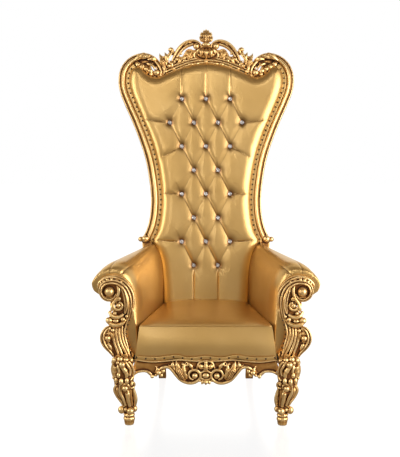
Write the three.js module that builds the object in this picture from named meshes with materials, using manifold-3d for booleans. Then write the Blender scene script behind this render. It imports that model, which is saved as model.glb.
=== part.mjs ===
// A tall throne: a carved and gilded wooden frame with tufted and padded upholstery.
// Millimetres, +Z up, the front faces -Y. The origin is on the floor, under the middle of its box.
import * as THREE from "three";
import { mergeVertices } from "three/addons/utils/BufferGeometryUtils.js";
import Module from "manifold-3d";

const wasm = await Module();
wasm.setup();

// Seat and its frame
const frameTop = 303; // top of the seat frame, where all the upholstery starts
const seatHeight = 447; // seam along the seat's front edge
const seatCrown = 16; // how far the middle of the seat stands above its seam
const seatHalfFront = 304; // half width of the seat at its front, at the seam's height
const seatHalfBack = 218; // half width of the seat where it meets the back
const seatFlare = 0.1; // how much the seat's side moves out for each millimetre down
const frontY = -360; // front of the seat frame
const seatBackY = 120; // where the seat meets the back, at the seam's height
const seamSetback = 26; // how far the front seam lies behind the foot of the seat's front
const cornerRadius = 24; // rounding of the seat's front corners
const railDepth = 34; // thickness of the four rails
const sideRailHeight = 72;
const baseThickness = 15; // board under the seat

// Legs
const frontLegX = 345; // centre of a front foot
const frontLegY = -352;
const footRadius = 27;
const footHeight = 50;
const kneeRadius = 47;
const backLegWidth = 46;
const backFootX = 232;
const backFootY = 320;

// Arms
const armFrontHeight = 722;
const armBackHeight = 742;
const armReach = 222; // from the seat's side to the tip of the arm's roll, at the front
const armBackReach = 128; // the same at the back
const armFrontY = -305;
const armRounding = 35; // how far the arm's front edge is rounded
const facingDepth = 30; // thickness of the carved facing's ground

// Back
const lean = THREE.MathUtils.degToRad(8);
const backRootY = 150; // the back's own origin stands here, at the height of the next value
const backRootZ = 450;
const backHalfWidth = 447;
const backRise = 1391; // from the back's origin up its slope to the tip of the crest
const stileWidth = 55;
const stileFront = 30; // how far the moulding stands in front of the back's plane
const stileDepth = 34; // how far a stile reaches behind that plane
const postWidth = 44; // plain lower part of a stile, behind the arm
const postFront = 4;
const crestDepth = 22; // how far the crest reaches behind the back's plane
const boardThickness = 13;
const padCrown = 45; // how far the back's padding stands in front of its plane
const padRim = 8; // the same along its edge
const padRounding = 80; // width of the rounded margin of the padding

// Tufting
const tuftAcross = 61; // half the distance between two buttons of a row
const tuftRise = 120.2; // distance between two rows
const topRow = 1029; // height of the top row on the back
const tuftDepth = 22;
const buttonRadius = 10;
const buttonDome = 7;
const buttonRows = [
  [-2, 0, 2],
  [-3, -1, 1, 3],
  [-2, 0, 2],
  [-1, 1],
  [-2, 0, 2],
  [-1, 1],
  [-2, 0, 2],
  [-1, 1],
];

const gap = 0.4; // clearance between neighbouring pieces
const underTop = frameTop - gap / 2;
const overTop = frameTop + gap / 2;
const front = new THREE.Vector3(0, -1, 0);
const far = 3000;

const gilding = new THREE.MeshStandardMaterial({ color: 0xa8742f, metalness: 0.7, roughness: 0.38 });
const leather = new THREE.MeshStandardMaterial({ color: 0xc9973f, metalness: 0.35, roughness: 0.42 });
const crystal = new THREE.MeshStandardMaterial({ color: 0xd8d4dc, metalness: 0.1, roughness: 0.08 });
const lining = new THREE.MeshStandardMaterial({ color: 0x1b1a1a, metalness: 0, roughness: 0.95 });

const { lerp, mapLinear, smoothstep } = THREE.MathUtils;
const spline = (points) => new THREE.CatmullRomCurve3(points, false, "centripetal");

// Solids from three.js geometries

// A closed geometry as a solid, turned right side out.
function solidOf(geometry) {
  const bare = new THREE.BufferGeometry();
  bare.setAttribute("position", geometry.getAttribute("position"));
  bare.setIndex(geometry.index);
  const merged = mergeVertices(bare, 1e-3);
  const at = (i) => new THREE.Vector3().fromBufferAttribute(merged.attributes.position, i);
  const corners = Uint32Array.from(merged.index.array);
  let volume = 0;
  for (let i = 0; i < corners.length; i += 3) {
    volume += at(corners[i]).dot(at(corners[i + 1]).cross(at(corners[i + 2])));
  }
  if (volume < 0) {
    for (let i = 0; i < corners.length; i += 3) {
      [corners[i + 1], corners[i + 2]] = [corners[i + 2], corners[i + 1]];
    }
  }
  const vertProperties = Float32Array.from(merged.attributes.position.array);
  return new wasm.Manifold(new wasm.Mesh({ numProp: 3, vertProperties, triVerts: corners }));
}

function geometryOf(solid) {
  const mesh = solid.getMesh();
  const geometry = new THREE.BufferGeometry();
  const positions = new THREE.BufferAttribute(Float32Array.from(mesh.vertProperties), mesh.numProp);
  geometry.setAttribute("position", positions);
  geometry.setIndex(new THREE.BufferAttribute(Uint32Array.from(mesh.triVerts), 1));
  return geometry;
}

const join = (...solids) => solids.flat().reduce((whole, piece) => whole.add(piece));
const cut = (solid, ...tools) => tools.flat().reduce((left, tool) => left.subtract(tool), solid);
const mirrored = (solid) => solidOf(geometryOf(solid).scale(-1, 1, 1));
const moved = (solid, matrix) => solidOf(geometryOf(solid).applyMatrix4(matrix));
const bothSides = (solid) => [solid, mirrored(solid)];

// A capped skin over an outline that is carried through a number of steps. place gives each corner.
function loft(outline, steps, place) {
  const shape = new THREE.Shape(outline.map(([x, y]) => new THREE.Vector2(x, y)));
  const skin = new THREE.ExtrudeGeometry(shape, { steps, depth: steps, bevelEnabled: false });
  const at = skin.attributes.position;
  for (let i = 0; i < at.count; i++) {
    const corner = outline.findIndex(([x, y]) => Math.hypot(at.getX(i) - x, at.getY(i) - y) < 1e-3);
    const point = place(corner, Math.round(at.getZ(i)));
    at.setXYZ(i, point.x, point.y, point.z);
  }
  return solidOf(skin);
}

// The directions across a curve and out of it, where out looks as far towards face as it can.
function sidesOf(curve, t, face) {
  const along = curve.getTangentAt(t);
  const side = face.clone().cross(along).normalize();
  const out = along.clone().cross(side).normalize();
  return [side, out];
}

// A bar along a curve. Its section is a list of [across, out] points.
function sweep(curve, section, steps, taper = () => 1, face = front) {
  return loft(section, steps, (corner, step) => {
    const t = step / steps;
    const [side, out] = sidesOf(curve, t, face);
    const [across, forward] = section[corner];
    const size = taper(t);
    return curve.getPointAt(t).addScaledVector(side, across * size).addScaledVector(out, forward * size);
  });
}

function oval(radius, sides, depth = radius) {
  return Array.from({ length: sides }, (_, i) => {
    const turn = ((i + 0.5) / sides) * 2 * Math.PI;
    return [radius * Math.cos(turn), depth * Math.sin(turn)];
  });
}

// A ball or an egg. The small ones are icosahedra.
function ball(centre, radius, depth = radius, height = radius, sides = 0) {
  const round = sides ? new THREE.SphereGeometry(1, sides, 4) : new THREE.IcosahedronGeometry(1, 0);
  round.rotateX(Math.PI / 2).scale(radius, depth, height).translate(centre.x, centre.y, centre.z);
  return solidOf(round);
}

function block(low, high) {
  const size = high.clone().sub(low);
  const box = new THREE.BoxGeometry(size.x, size.y, size.z);
  return solidOf(box.translate(low.x + size.x / 2, low.y + size.y / 2, low.z + size.z / 2));
}

// An outline in X and Z, made thick along Y.
function plate(outline, frontFace, backFace) {
  return loft(outline, 1, (corner, step) =>
    new THREE.Vector3(outline[corner][0], step ? backFace : frontFace, outline[corner][1]));
}

// An outline of one half, closed by its mirror image.
const whole = (half) => [
  ...half,
  ...half.filter(([x]) => x > 1e-3).map(([x, z]) => [-x, z]).reverse(),
];

// A carved scroll: a tapering bar that runs along its stem and winds into an eye.
function scroll({ stem, eye, radii, turns, thick, eyeRadius, steps = 10 }) {
  const winding = Array.from({ length: 6 }, (_, i) => {
    const turn = lerp(turns[0], turns[1], i / 5) * 2 * Math.PI;
    const radius = lerp(radii[0], radii[1], i / 5);
    return eye.clone().add(new THREE.Vector3(radius * Math.cos(turn), 0, radius * Math.sin(turn)));
  });
  const taper = (t) => lerp(thick[0], thick[1], t);
  const bar = sweep(spline([...stem, ...winding]), oval(1, 4, 1.25), steps, taper);
  return join(bar, ball(eye, eyeRadius));
}

// A carved leaf: its midrib follows a curve, its edge has lobes and its blade rises to a ridge.
function leaf({ rib, width, thick, lobes = 1 }) {
  const curve = spline(rib);
  const steps = lobes * 2 + 1;
  const blade = [[-1, 0], [0, 1], [1, 0]];
  return loft(blade, steps, (corner, step) => {
    const t = step / steps;
    const [side, out] = sidesOf(curve, t, front);
    const [across, up] = blade[corner];
    const notch = 1 - 0.3 * Math.abs(Math.cos(Math.PI * lobes * t));
    const half = (width / 2) * Math.sin(Math.PI * (0.22 + 0.7 * t)) * notch;
    const point = curve.getPointAt(t).addScaledVector(side, across * half);
    return point.addScaledVector(out, lerp(-thick / 2, thick, up));
  });
}

// The corners of a bar's side, at a distance across from its curve, between two of its steps.
function sideLine(curve, steps, first, last, across) {
  return Array.from({ length: last - first + 1 }, (_, i) => {
    const t = (first + i) / steps;
    const point = curve.getPointAt(t).addScaledVector(sidesOf(curve, t, front)[0], across);
    return [point.x, point.z];
  });
}

// The back leans in a frame of its own: X across, Z up its slope and -Y out towards the sitter.
const backFrame = new THREE.Matrix4().makeTranslation(0, backRootY, backRootZ)
  .multiply(new THREE.Matrix4().makeRotationX(-lean));
const intoBack = backFrame.clone().invert();
const stileReach = backHalfWidth - stileWidth / 2; // the widest place of a stile's centre line
const onBack = (across, up, out = 0) => new THREE.Vector3(across * stileReach, -out, up * backRise);
const backFootRise = (frameTop - backRootZ) / Math.cos(lean); // the frame's top, on the back's plane
const postTop = onBack(0.712, 0.235);
const postFootX = seatHalfBack + 50;
const backLegTopY = backRootY + backFootRise * Math.sin(lean) + stileDepth / 2;

// What lies below the frame's top, and what lies behind a plane of the back, as tools.
const belowTop = (z) => block(new THREE.Vector3(-far, -far, -far), new THREE.Vector3(far, far, z));
const behindBack = (out) =>
  moved(block(new THREE.Vector3(-far, -out, -far), new THREE.Vector3(far, far, far)), backFrame);

// The hourglass centre line of a stile: up from the arm, round the shoulder and down to the crook.
const stileLine = [
  onBack(0.712, 0.226),
  onBack(0.625, 0.295),
  onBack(0.603, 0.385),
  onBack(0.67, 0.525),
  onBack(0.834, 0.665),
  onBack(0.986, 0.78),
  onBack(0.955, 0.859),
  onBack(0.775, 0.894),
  onBack(0.608, 0.876),
  onBack(0.543, 0.845),
];
const stileCurve = spline(stileLine);
const stileSteps = 20;
const shoulderStep = 16; // the step where the moulding reaches the top of the shoulder
const crookEye = onBack(0.598, 0.837, 10);
const archCurve = spline([
  onBack(0.56, 0.82),
  onBack(0.47, 0.836),
  onBack(0.338, 0.86),
  onBack(0.17, 0.879),
  onBack(0, 0.885),
]);
const archSteps = 7;
const archHalf = 13;

// The stile's moulding: a rounded outer roll, then a lower channel that holds the nails.
function mouldingSection(grow) {
  const half = stileWidth / 2;
  return [
    [-half, -stileDepth],
    [-half, stileFront * 0.35],
    [-half * 0.45, stileFront],
    [half * 0.25, stileFront * 0.45],
    [half, stileFront * 0.35],
    [half, -stileDepth],
  ].map(([across, out]) => [across + Math.sign(across) * grow, out + Math.sign(out) * grow]);
}

// The plain parts of a stile: its moulding, the knobs on the arm and the post behind the arm.
function stileBody(grow = 0) {
  const thinTop = (t) => 1 - 0.3 * smoothstep(t, 0.86, 1);
  const moulding = sweep(stileCurve, mouldingSection(grow), stileSteps, thinTop);
  const knobs = [[0.735, 0.23, 12, 19], [0.79, 0.231, 6, 14]].map(
    ([across, up, out, radius]) => ball(onBack(across, up, out), radius + grow));
  const half = postWidth / 2 + grow;
  const low = backFootRise - stileDepth;
  const post = plate([
    [postTop.x - half, postTop.z],
    [postTop.x + half * 0.8, postTop.z],
    [postFootX + half, low],
    [postFootX - half, low],
  ], -postFront - grow, stileDepth - 1 + grow);
  return join(moulding, ...knobs, post);
}

function stile() {
  const hook = scroll({
    stem: [onBack(0.556, 0.866, 8), onBack(0.535, 0.848, 8)],
    eye: crookEye, radii: [25, 19], turns: [-0.05, -0.5], thick: [13, 8], eyeRadius: 18, steps: 6,
  });
  const crookLeaves = [
    [[0.75, 0.885], [0.72, 0.866], [0.67, 0.848], 36, 2],
    [[0.69, 0.858], [0.66, 0.843], [0.615, 0.83], 26, 1],
  ].map(([a, b, c, width, lobes]) => leaf({
    rib: [onBack(...a, 4), onBack(...b, 12), onBack(...c, 10)], width, thick: 11, lobes,
  }));
  const shoulderLeaf = leaf({
    rib: [[0.79, 0.85], [0.84, 1.1], [0.89, 1]].map(([t, out]) =>
      stileCurve.getPointAt(t).add(new THREE.Vector3(0, -stileFront * out, 4))),
    width: 40, thick: 7,
  });
  const tools = [moved(belowTop(overTop), intoBack), beyondJoint(-1)];
  return cut(join(stileBody(), hook, ...crookLeaves, shoulderLeaf), tools);
}

// The crest meets each stile on a slanting line beside the crook. side is 1 for what lies outside it.
function beyondJoint(side) {
  const low = onBack(0.5, 0.8);
  const high = onBack(0.58, 1.1);
  const shift = (-side * gap) / 2;
  return plate([
    [low.x + shift, low.z], [high.x + shift, high.z], [side * far, high.z], [side * far, low.z],
  ], -far, far);
}

// The pierced ground of one half of the crest. It gives the carving its body.
function crestGround() {
  const line = (points) => points.map(([across, up]) => [across * stileReach, up * backRise]);
  const edge = line([
    [0, 0.89], [0.17, 0.88], [0.34, 0.86], [0.52, 0.83], [0.52, 0.872], [0.545, 0.905], [0.5, 0.898],
    [0.465, 0.926], [0.4, 0.902], [0.36, 0.915], [0.26, 0.936], [0.18, 0.938], [0.09, 0.918],
    [0.055, 0.95], [0, 0.96],
  ]);
  const holes = [
    [[0.33, 0.893], [0.29, 0.911], [0.325, 0.919], [0.355, 0.905]],
    [[0.16, 0.922], [0.155, 0.942], [0.19, 0.946], [0.205, 0.934]],
  ].map((hole) => plate(line(hole), -far, far));
  return cut(plate(edge, -8, crestDepth - 4), holes);
}

function crestHalf() {
  const archSection = [[-1, 1], [0.2, 0.7], [1, 1.2]].map(([across, out]) =>
    [across * archHalf, out * 15]);
  archSection.push([archHalf, -crestDepth], [-archHalf, -crestDepth]);
  const arch = sweep(archCurve, archSection, archSteps);
  const greatScroll = scroll({
    stem: [onBack(0.43, 0.868, 8), onBack(0.4, 0.884, 8), onBack(0.345, 0.909, 9),
      onBack(0.277, 0.937, 10), onBack(0.2, 0.949, 12)],
    eye: onBack(0.12, 0.933, 14), radii: [22, 15], turns: [0.2, 0.75],
    thick: [16, 10], eyeRadius: 16, steps: 9,
  });
  const leaves = [
    [[0.48, 0.84, 6], [0.51, 0.878, 14], [0.54, 0.916, 8], 34, 1],
    [[0.38, 0.87, 6], [0.44, 0.888, 16], [0.455, 0.926, 12], 34, 1],
    [[0.22, 0.88, 6], [0.225, 0.902, 14], [0.265, 0.936, 12], 36, 2],
    [[0.01, 0.938, 8], [0.055, 0.955, 12], [0.09, 0.966, 8], 26, 1],
  ].map(([a, b, c, width, lobes]) =>
    leaf({ rib: [onBack(...a), onBack(...b), onBack(...c)], width, thick: 10, lobes }));
  const berries = [[0.04, 0.974, 10, 11], [0.36, 0.887, 12, 10]].map(
    ([across, up, out, radius]) => ball(onBack(across, up, out), radius));
  return join(crestGround(), arch, greatScroll, ...leaves, ...berries);
}

function crest() {
  const half = crestHalf();
  const middle = [
    ball(onBack(0, 0.906, 8), 47, 22, 22, 7),
    ball(onBack(0, 0.94, 14), 23, 14, 13, 6),
    leaf({
      rib: [onBack(0, 0.91, 6), onBack(0, 0.96, 14), onBack(0, 0.9995, 4)], width: 40, thick: 12, lobes: 3,
    }),
  ];
  return cut(join(half, mirrored(half), ...middle), bothSides(beyondJoint(1)));
}

// The padded field in one half: along the post, the stile, round under the crook and along the arch.
const padEdge = [
  [postFootX - postWidth / 2 - gap, backFootRise - stileDepth],
  ...sideLine(stileCurve, stileSteps, 0, shoulderStep, stileWidth / 2 + gap),
  ...[[0.74, 0.848], [0.67, 0.814], [0.58, 0.804]].map(([across, up]) =>
    [across * stileReach, up * backRise]),
  ...sideLine(archCurve, archSteps, 0, archSteps, archHalf + gap),
];

// How far a point of the back lies inside the padded field. It is negative outside.
function insideField(x, up) {
  const outline = whole(padEdge).map(([across, height]) => new THREE.Vector3(across, 0, height));
  const point = new THREE.Vector3(x, 0, up);
  const sides = outline.map((corner, i) => new THREE.Line3(corner, outline[(i + 1) % outline.length]));
  const crossed = sides.filter(({ start, end }) => (start.z > up) !== (end.z > up)
    && x < mapLinear(up, start.z, end.z, start.x, end.x));
  const nearest = new THREE.Vector3();
  const distances = sides.map((side) => side.closestPointToPoint(point, true, nearest).distanceTo(point));
  return Math.min(...distances) * (crossed.length % 2 ? 1 : -1);
}

// 1 at a button, less in the crease that joins two buttons, and 0 on the middle of a diamond.
function tuftAt(column, row) {
  const isButton = (c, r) => Number((buttonRows[r] ?? []).includes(c));
  const ends = [[0.5, 0.5], [0.5, -0.5], [-0.5, 0.5], [-0.5, -0.5]];
  const nearby = ends.reduce((sum, [c, r]) => sum + isButton(column + c, row + r), 0);
  return Math.max(isButton(column, row), nearby * 0.28);
}

// How far the padding stands out of the back's plane, at a button or beside it.
function padOut(column, row) {
  const inside = insideField(column * tuftAcross, topRow - row * tuftRise);
  const swell = lerp(padRim, padCrown, smoothstep(inside, 0, padRounding));
  return swell - tuftDepth * tuftAt(column, row);
}

// The face of the pad is a slanting lattice, whose corners lie on the buttons and their creases.
function backPad(tools) {
  const below = Math.ceil((topRow - padEdge[0][1]) / (tuftRise / 2));
  const above = Math.ceil((backRise * 0.9 - topRow) / (tuftRise / 2));
  const halfColumns = Math.ceil(backHalfWidth / tuftAcross);
  const firstColumn = -halfColumns - Math.ceil(below / 2);
  const columns = halfColumns - firstColumn + Math.ceil(above / 2);
  const cushion = new THREE.BoxGeometry(2, 1, 1, columns, below + above, 1);
  const at = cushion.attributes.position;
  for (let i = 0; i < at.count; i++) {
    const step = Math.round((at.getY(i) + 0.5) * (below + above)) - below;
    const column = firstColumn + Math.round(((at.getX(i) + 1) / 2) * columns) - step / 2;
    const out = at.getZ(i) > 0 ? padOut(column, -step / 2) : -far;
    at.setXYZ(i, column * tuftAcross, -out, topRow + (step * tuftRise) / 2);
  }
  return cut(solidOf(cushion).intersect(plate(whole(padEdge), -far, stileDepth - gap)), tools);
}

function backBoard() {
  const outline = whole([
    [postFootX, backFootRise - stileDepth],
    ...sideLine(stileCurve, stileSteps / 2, 0, shoulderStep / 2, 0),
    ...sideLine(archCurve, archSteps, 0, archSteps, 0),
  ]);
  const board = plate(outline, stileDepth + gap, stileDepth + gap + boardThickness);
  return cut(board, moved(belowTop(overTop), intoBack));
}

function button() {
  const profile = [[0, 0], [1, 0.3], [0, 1]].map(
    ([across, up]) => new THREE.Vector2(across * buttonRadius, up * buttonDome));
  return solidOf(new THREE.LatheGeometry(profile, 6).rotateX(Math.PI));
}

// Half width of the seat at a depth and a height. The arms start there.
function seatSideAt(y, z) {
  const half = mapLinear(y, frontY + seamSetback, seatBackY, seatHalfFront, seatHalfBack);
  return half + Math.max(0, seatHeight - z) * seatFlare;
}

function seatPad() {
  const back = seatBackY + 80;
  const levels = [
    [overTop, 0, 0],
    [lerp(frameTop, seatHeight, 0.55), 0.55, 0],
    [seatHeight, 1, 0],
    [seatHeight + seatCrown * 0.45, 1, cornerRadius],
    [seatHeight + seatCrown, 1, cornerRadius * 4],
  ];
  const corner = [[0, 1], [0.3, 0.3], [1, 0]]; // shares of the corner's rounding, across and back
  const count = 2 * corner.length + 3;
  const outline = oval(1, count);
  return cut(loft(outline, levels.length - 1, (index, step) => {
    const [z, setback, inset] = levels[step];
    const y = frontY + gap + setback * seamSetback + inset;
    const side = (depth) => seatSideAt(depth, z) - gap - inset;
    const left = corner.map(([across, deep]) => {
      const depth = y + deep * cornerRadius;
      return [across * cornerRadius - side(depth), depth];
    });
    const right = left.map(([x, depth]) => [-x, depth]).reverse();
    const ring = [...left, [0, y - gap], ...right, [side(back), back], [-side(back), back]];
    return new THREE.Vector3(ring[index][0], ring[index][1], z);
  }), behindBack(padCrown + gap));
}

// Cross section of an arm: shares of its reach from the seat's side, and of its height.
const armShape = [
  [0, 0.345], [0.01, 0.56], [0.06, 0.74], [0.18, 0.89], [0.37, 0.985], [0.6, 1],
  [0.85, 0.93], [1, 0.81], [0.93, 0.71], [0.62, 0.64], [0.53, 0.55], [0.5, 0.3], [0.38, 0], [0, 0],
];

function armPad(grow = 0) {
  const back = seatBackY + 110;
  const stations = [
    [armFrontY, armRounding], [armFrontY + armRounding * 0.4, armRounding * 0.35],
    [armFrontY + armRounding * 1.4, 0], [lerp(armFrontY, seatBackY, 0.4), 0],
    [lerp(armFrontY, seatBackY, 0.75), 0], [back, 0],
  ];
  return loft(armShape, stations.length - 1, (corner, step) => {
    const [y, inset] = stations[step];
    const [across, up] = armShape[corner];
    const t = mapLinear(y, armFrontY, seatBackY, 0, 1);
    const reach = lerp(armReach, armBackReach, t);
    const height = lerp(armFrontHeight, armBackHeight, t) - frameTop;
    const foot = seatSideAt(y, frameTop);
    const heart = [foot + reach * 0.25, frameTop + height * 0.5];
    const z = overTop - grow + up * (height + 2 * grow);
    const x = seatSideAt(y, z) + across * reach;
    const shrink = 1 - (inset - grow) / (height * 0.5);
    const onBase = up === 0;
    const inX = heart[0] + (x - heart[0]) * shrink;
    const inZ = onBase ? z : heart[1] + (z - heart[1]) * shrink;
    return new THREE.Vector3(Math.max(inX, seatSideAt(y, inZ) - grow), y, inZ);
  });
}

// The carved facing on the front of an arm. Its drawing is made for an arm 419 above the frame.
function armFacing() {
  const back = armFrontY - gap;
  const face = back - facingDepth;
  const rise = (armFrontHeight - overTop) / 419;
  const spread = armReach / 222;
  const at = (x, z, out = 0) =>
    new THREE.Vector3(frontLegX + x * spread, face - out, overTop + z * rise);
  const ground = [
    [-20, 0], [-2, 45], [12, 100], [11, 140], [-8, 172], [-24, 210], [-28, 255], [-22, 307], [2, 350],
    [48, 376], [92, 371], [119, 347], [122, 305], [104, 275], [72, 268], [56, 252], [70, 212],
    [90, 176], [84, 146], [100, 126], [112, 82], [104, 42], [66, 0],
  ].map(([x, z]) => [at(x, z).x, at(x, z).z]);
  const volute = scroll({
    stem: [at(4, 172, -6), at(-11, 212), at(-14, 256, 4), at(-8, 302, 4), at(14, 340, 3), at(50, 360, 2)],
    eye: at(82, 304, 2), radii: [54, 25], turns: [0.22, -0.55],
    thick: [12, 11], eyeRadius: 24, steps: 10,
  });
  const second = scroll({
    stem: [at(8, 200, 2), at(10, 226, 4)], eye: at(38, 240, 4), radii: [30, 13], turns: [0.4, -0.25],
    thick: [9, 7], eyeRadius: 13, steps: 6,
  });
  const fan = leaf({ rib: [at(26, 262, 2), at(20, 290, 8), at(46, 336, 2)], width: 40, thick: 9 });
  const crescents = [
    [[84, 206], [62, 184], [30, 186], [2, 204], 13],
    [[96, 172], [68, 146], [32, 147], [6, 168], 15],
  ].map(([a, b, c, d, radius]) => sweep(
    spline([at(...a, 0), at(...b, 7), at(...c, 7), at(...d, 0)]), oval(radius, 5), 4,
    (t) => 0.45 + 0.55 * Math.sin(Math.PI * Math.min(1, t + 0.12))));
  const ridges = [[-27, -6], [-27, 3], [-15, 11], [-2, 3], [12, 11], [27, 4], [27, -6]];
  const reeds = sweep(
    spline([at(38, 150, 0), at(40, 85, 1), at(28, 36, 1), at(14, 4, 0)]), ridges, 4);
  const sideCurl = scroll({
    stem: [at(76, 14, -8), at(98, 36, -4), at(110, 70, 0), at(104, 104, 0)],
    eye: at(88, 92, 2), radii: [20, 13], turns: [0.2, 0.8],
    thick: [10, 7], eyeRadius: 14, steps: 6,
  });
  const all = [volute, second, fan, ...crescents, reeds, sideCurl];
  return cut(join(plate(ground, face, back), ...all), belowTop(overTop), armSpace());
}

// The space just behind the facings, which the arms fill.
const armSpace = () => block(
  new THREE.Vector3(-far, armFrontY - gap, -far), new THREE.Vector3(far, far, far));

// Plain core of a front leg: [sideways, forwards, share of the height, share of the knee].
const legStations = [
  [0, 0, 0.14, 0.5], [0, 0, 0.22, 0.5], [3, 0, 0.32, 0.72], [12, 2, 0.42, 0.84], [17, 6, 0.54, 1],
  [18, 8, 0.7, 1.04], [21, 8, 0.86, 1.02], [20, 5, 1, 1],
];

function legCore(grow = 0) {
  const outline = oval(1, 8, 0.95);
  return loft(outline, legStations.length - 1, (corner, step) => {
    const [x, out, up, size] = legStations[step];
    const radius = kneeRadius * size + grow / Math.cos(Math.PI / 8);
    const [across, deep] = outline[corner];
    const z = up === 1 ? underTop + grow : up * frameTop;
    return new THREE.Vector3(frontLegX + x + across * radius, frontLegY - out + deep * radius, z);
  });
}

function frontLeg() {
  const at = (x, z, out = 0) =>
    new THREE.Vector3(frontLegX + x, frontLegY - out * kneeRadius, z * frameTop);
  const turning = [
    [0, 0], [0.78, 0], [0.9, 0.36], [1, 0.5], [1, 0.66], [0.85, 0.8], [0.9, 1.08], [0, 1.08],
  ].map(([r, z]) => new THREE.Vector2(r * footRadius, z * footHeight));
  const foot = new THREE.LatheGeometry(turning, 8).rotateX(Math.PI / 2);
  const knobs = [
    [54, 0.93, 0.6, 17], [20, 0.93, 1, 17], [50, 0.72, 0.7, 19],
    [10, 0.6, 1.08, 17], [32, 0.22, 0.05, 19], [-8, 0.225, 0.7, 18],
  ].map(([x, z, out, radius]) => ball(at(x, z, out), radius));
  const innerCurl = scroll({
    stem: [at(2, 0.97, 0.95), at(-20, 0.95, 0.92)], eye: at(-17, 0.8, 0.85),
    radii: [22, 11], turns: [0.35, -0.3], thick: [8, 6], eyeRadius: 10, steps: 6,
  });
  const leaves = [
    [[58, 0.66, 0.4], [60, 0.5, 0.5], [38, 0.34, 0.4], 30],
    [[24, 0.56, 1], [20, 0.42, 0.9], [8, 0.28, 0.5], 38],
    [[-20, 0.68, 0.7], [-24, 0.46, 0.6], [-18, 0.28, 0.4], 28],
  ].map(([a, b, c, width]) => leaf({ rib: [at(...a), at(...b), at(...c)], width, thick: 9 }));
  const carving = [solidOf(foot.translate(frontLegX, frontLegY, 0)), ...knobs, innerCurl, ...leaves];
  const aboveTop = block(new THREE.Vector3(-far, -far, underTop), new THREE.Vector3(far, far, far));
  return cut(join(legCore(), ...carving), aboveTop);
}

// The front rail: a serpentine apron with a cabochon between two volutes. It is drawn 320 wide.
function frontRail(tools) {
  const spread = frontLegX / 345;
  const drop = frameTop / 303;
  const at = (x, z, out = 0) => new THREE.Vector3(x * spread, frontY - out, z * drop);
  const edge = [
    [0, 184], [26, 197], [46, 190], [76, 186], [112, 202], [142, 227], [164, 252], [184, 256],
    [198, 244], [206, 228], [226, 224], [240, 214], [254, 226], [268, 240], [290, 243], [330, 236],
  ].map(([x, z]) => [at(x, z).x, at(x, z).z]);
  const end = edge[edge.length - 1][0];
  const outline = whole([...edge, [end, underTop]]);
  const board = plate(outline, frontY, frontY + railDepth);
  const cornice = block(
    new THREE.Vector3(-end, frontY - 6, underTop - 11), new THREE.Vector3(end, frontY + 6, underTop));
  const volute = scroll({
    stem: [at(120, 286, 2), at(128, 258, 5), at(120, 226, 6), at(92, 203, 6)],
    eye: at(51, 230, 6), radii: [28, 14], turns: [-0.2, -0.9],
    thick: [9, 7], eyeRadius: 13, steps: 8,
  });
  const leaves = [
    [[96, 212, 4], [104, 246, 10], [126, 286, 6], 36, 2],
    [[138, 234, 2], [160, 266, 6], [198, 262, 4], 22, 2],
  ].map(([a, b, c, width, lobes]) => leaf({ rib: [at(...a), at(...b), at(...c)], width, thick: 8, lobes }));
  const beadLine = spline([at(250, 232, 2), at(268, 246, 2), at(290, 249, 2), at(312, 244, 2)]);
  const bead = sweep(beadLine, oval(7, 4), 3);
  const knobs = [[24, 271, 4, 11], [216, 234, 3, 13]].map(
    ([x, z, out, radius]) => ball(at(x, z, out), radius));
  const half = join(volute, ...leaves, bead, ...knobs);
  const middle = [
    ball(at(0, 232, 2), 26, 8, 21, 8),
    ball(at(0, 232, 8), 15, 10, 12),
    leaf({ rib: [at(0, 252, 3), at(0, 274, 7), at(0, 294, 4)], width: 24, thick: 7 }),
    leaf({ rib: [at(0, 212, 3), at(0, 198, 6), at(0, 182, 2)], width: 26, thick: 6 }),
  ];
  const aboveTop = block(new THREE.Vector3(-far, -far, underTop), new THREE.Vector3(far, far, far));
  return cut(join(board, cornice, half, mirrored(half), ...middle), aboveTop, tools);
}

// Centre line of a side rail, from a front leg to a back leg.
const railStart = new THREE.Vector2(frontLegX + 28, frontLegY);
const railEnd = new THREE.Vector2(postFootX, backLegTopY);
const railTurn = Math.atan2(railEnd.y - railStart.y, railEnd.x - railStart.x);

function sideRail(tools) {
  const span = railStart.distanceTo(railEnd);
  const low = frameTop - sideRailHeight;
  const wave = [[0, 0], [0.1, 0.03], [0.22, 0.26], [0.38, 0.2], [0.46, -0.02], [0.54, -0.02], [0.62, 0.2],
    [0.78, 0.26], [0.9, 0.03], [1, 0]];
  const lower = wave.map(([along, up]) => [along * span, low + up * sideRailHeight]);
  const rail = plate([...lower, [span, underTop], [0, underTop]], -railDepth / 2, railDepth / 2);
  const place = new THREE.Matrix4().makeTranslation(railStart.x, railStart.y, 0)
    .multiply(new THREE.Matrix4().makeRotationZ(railTurn));
  return cut(moved(rail, place), tools);
}

// A back leg stands square beside the rails and then sweeps back to its foot.
// Its stations are [share of the way to the top in X, in Y, height, size].
function backLeg(grow = 0) {
  const railLow = frameTop - sideRailHeight;
  const stations = [
    [0, 0, -grow, 0.85], [0.04, 0.1, railLow * 0.25, 0.88], [0.3, 0.4, railLow * 0.6, 0.98],
    [0.75, 0.8, railLow * 0.88, 1.08], [1, 1, railLow - grow - 1, 1.1], [1, 1, underTop + grow, 1.1],
  ];
  const half = backLegWidth / 2;
  const square = [[-half, -half], [-half, half], [half, half], [half, -half]];
  return loft(square, stations.length - 1, (corner, step) => {
    const [alongX, alongY, z, share] = stations[step];
    const size = share + grow / half;
    return new THREE.Vector3(
      lerp(backFootX, postFootX, alongX) + square[corner][0] * size,
      lerp(backFootY, backLegTopY, alongY) + square[corner][1] * size, z);
  });
}

function backRail(tools) {
  const rail = block(
    new THREE.Vector3(-postFootX, backLegTopY - railDepth / 2, frameTop - sideRailHeight),
    new THREE.Vector3(postFootX, backLegTopY + railDepth / 2, underTop),
  );
  return cut(rail, tools);
}

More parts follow.
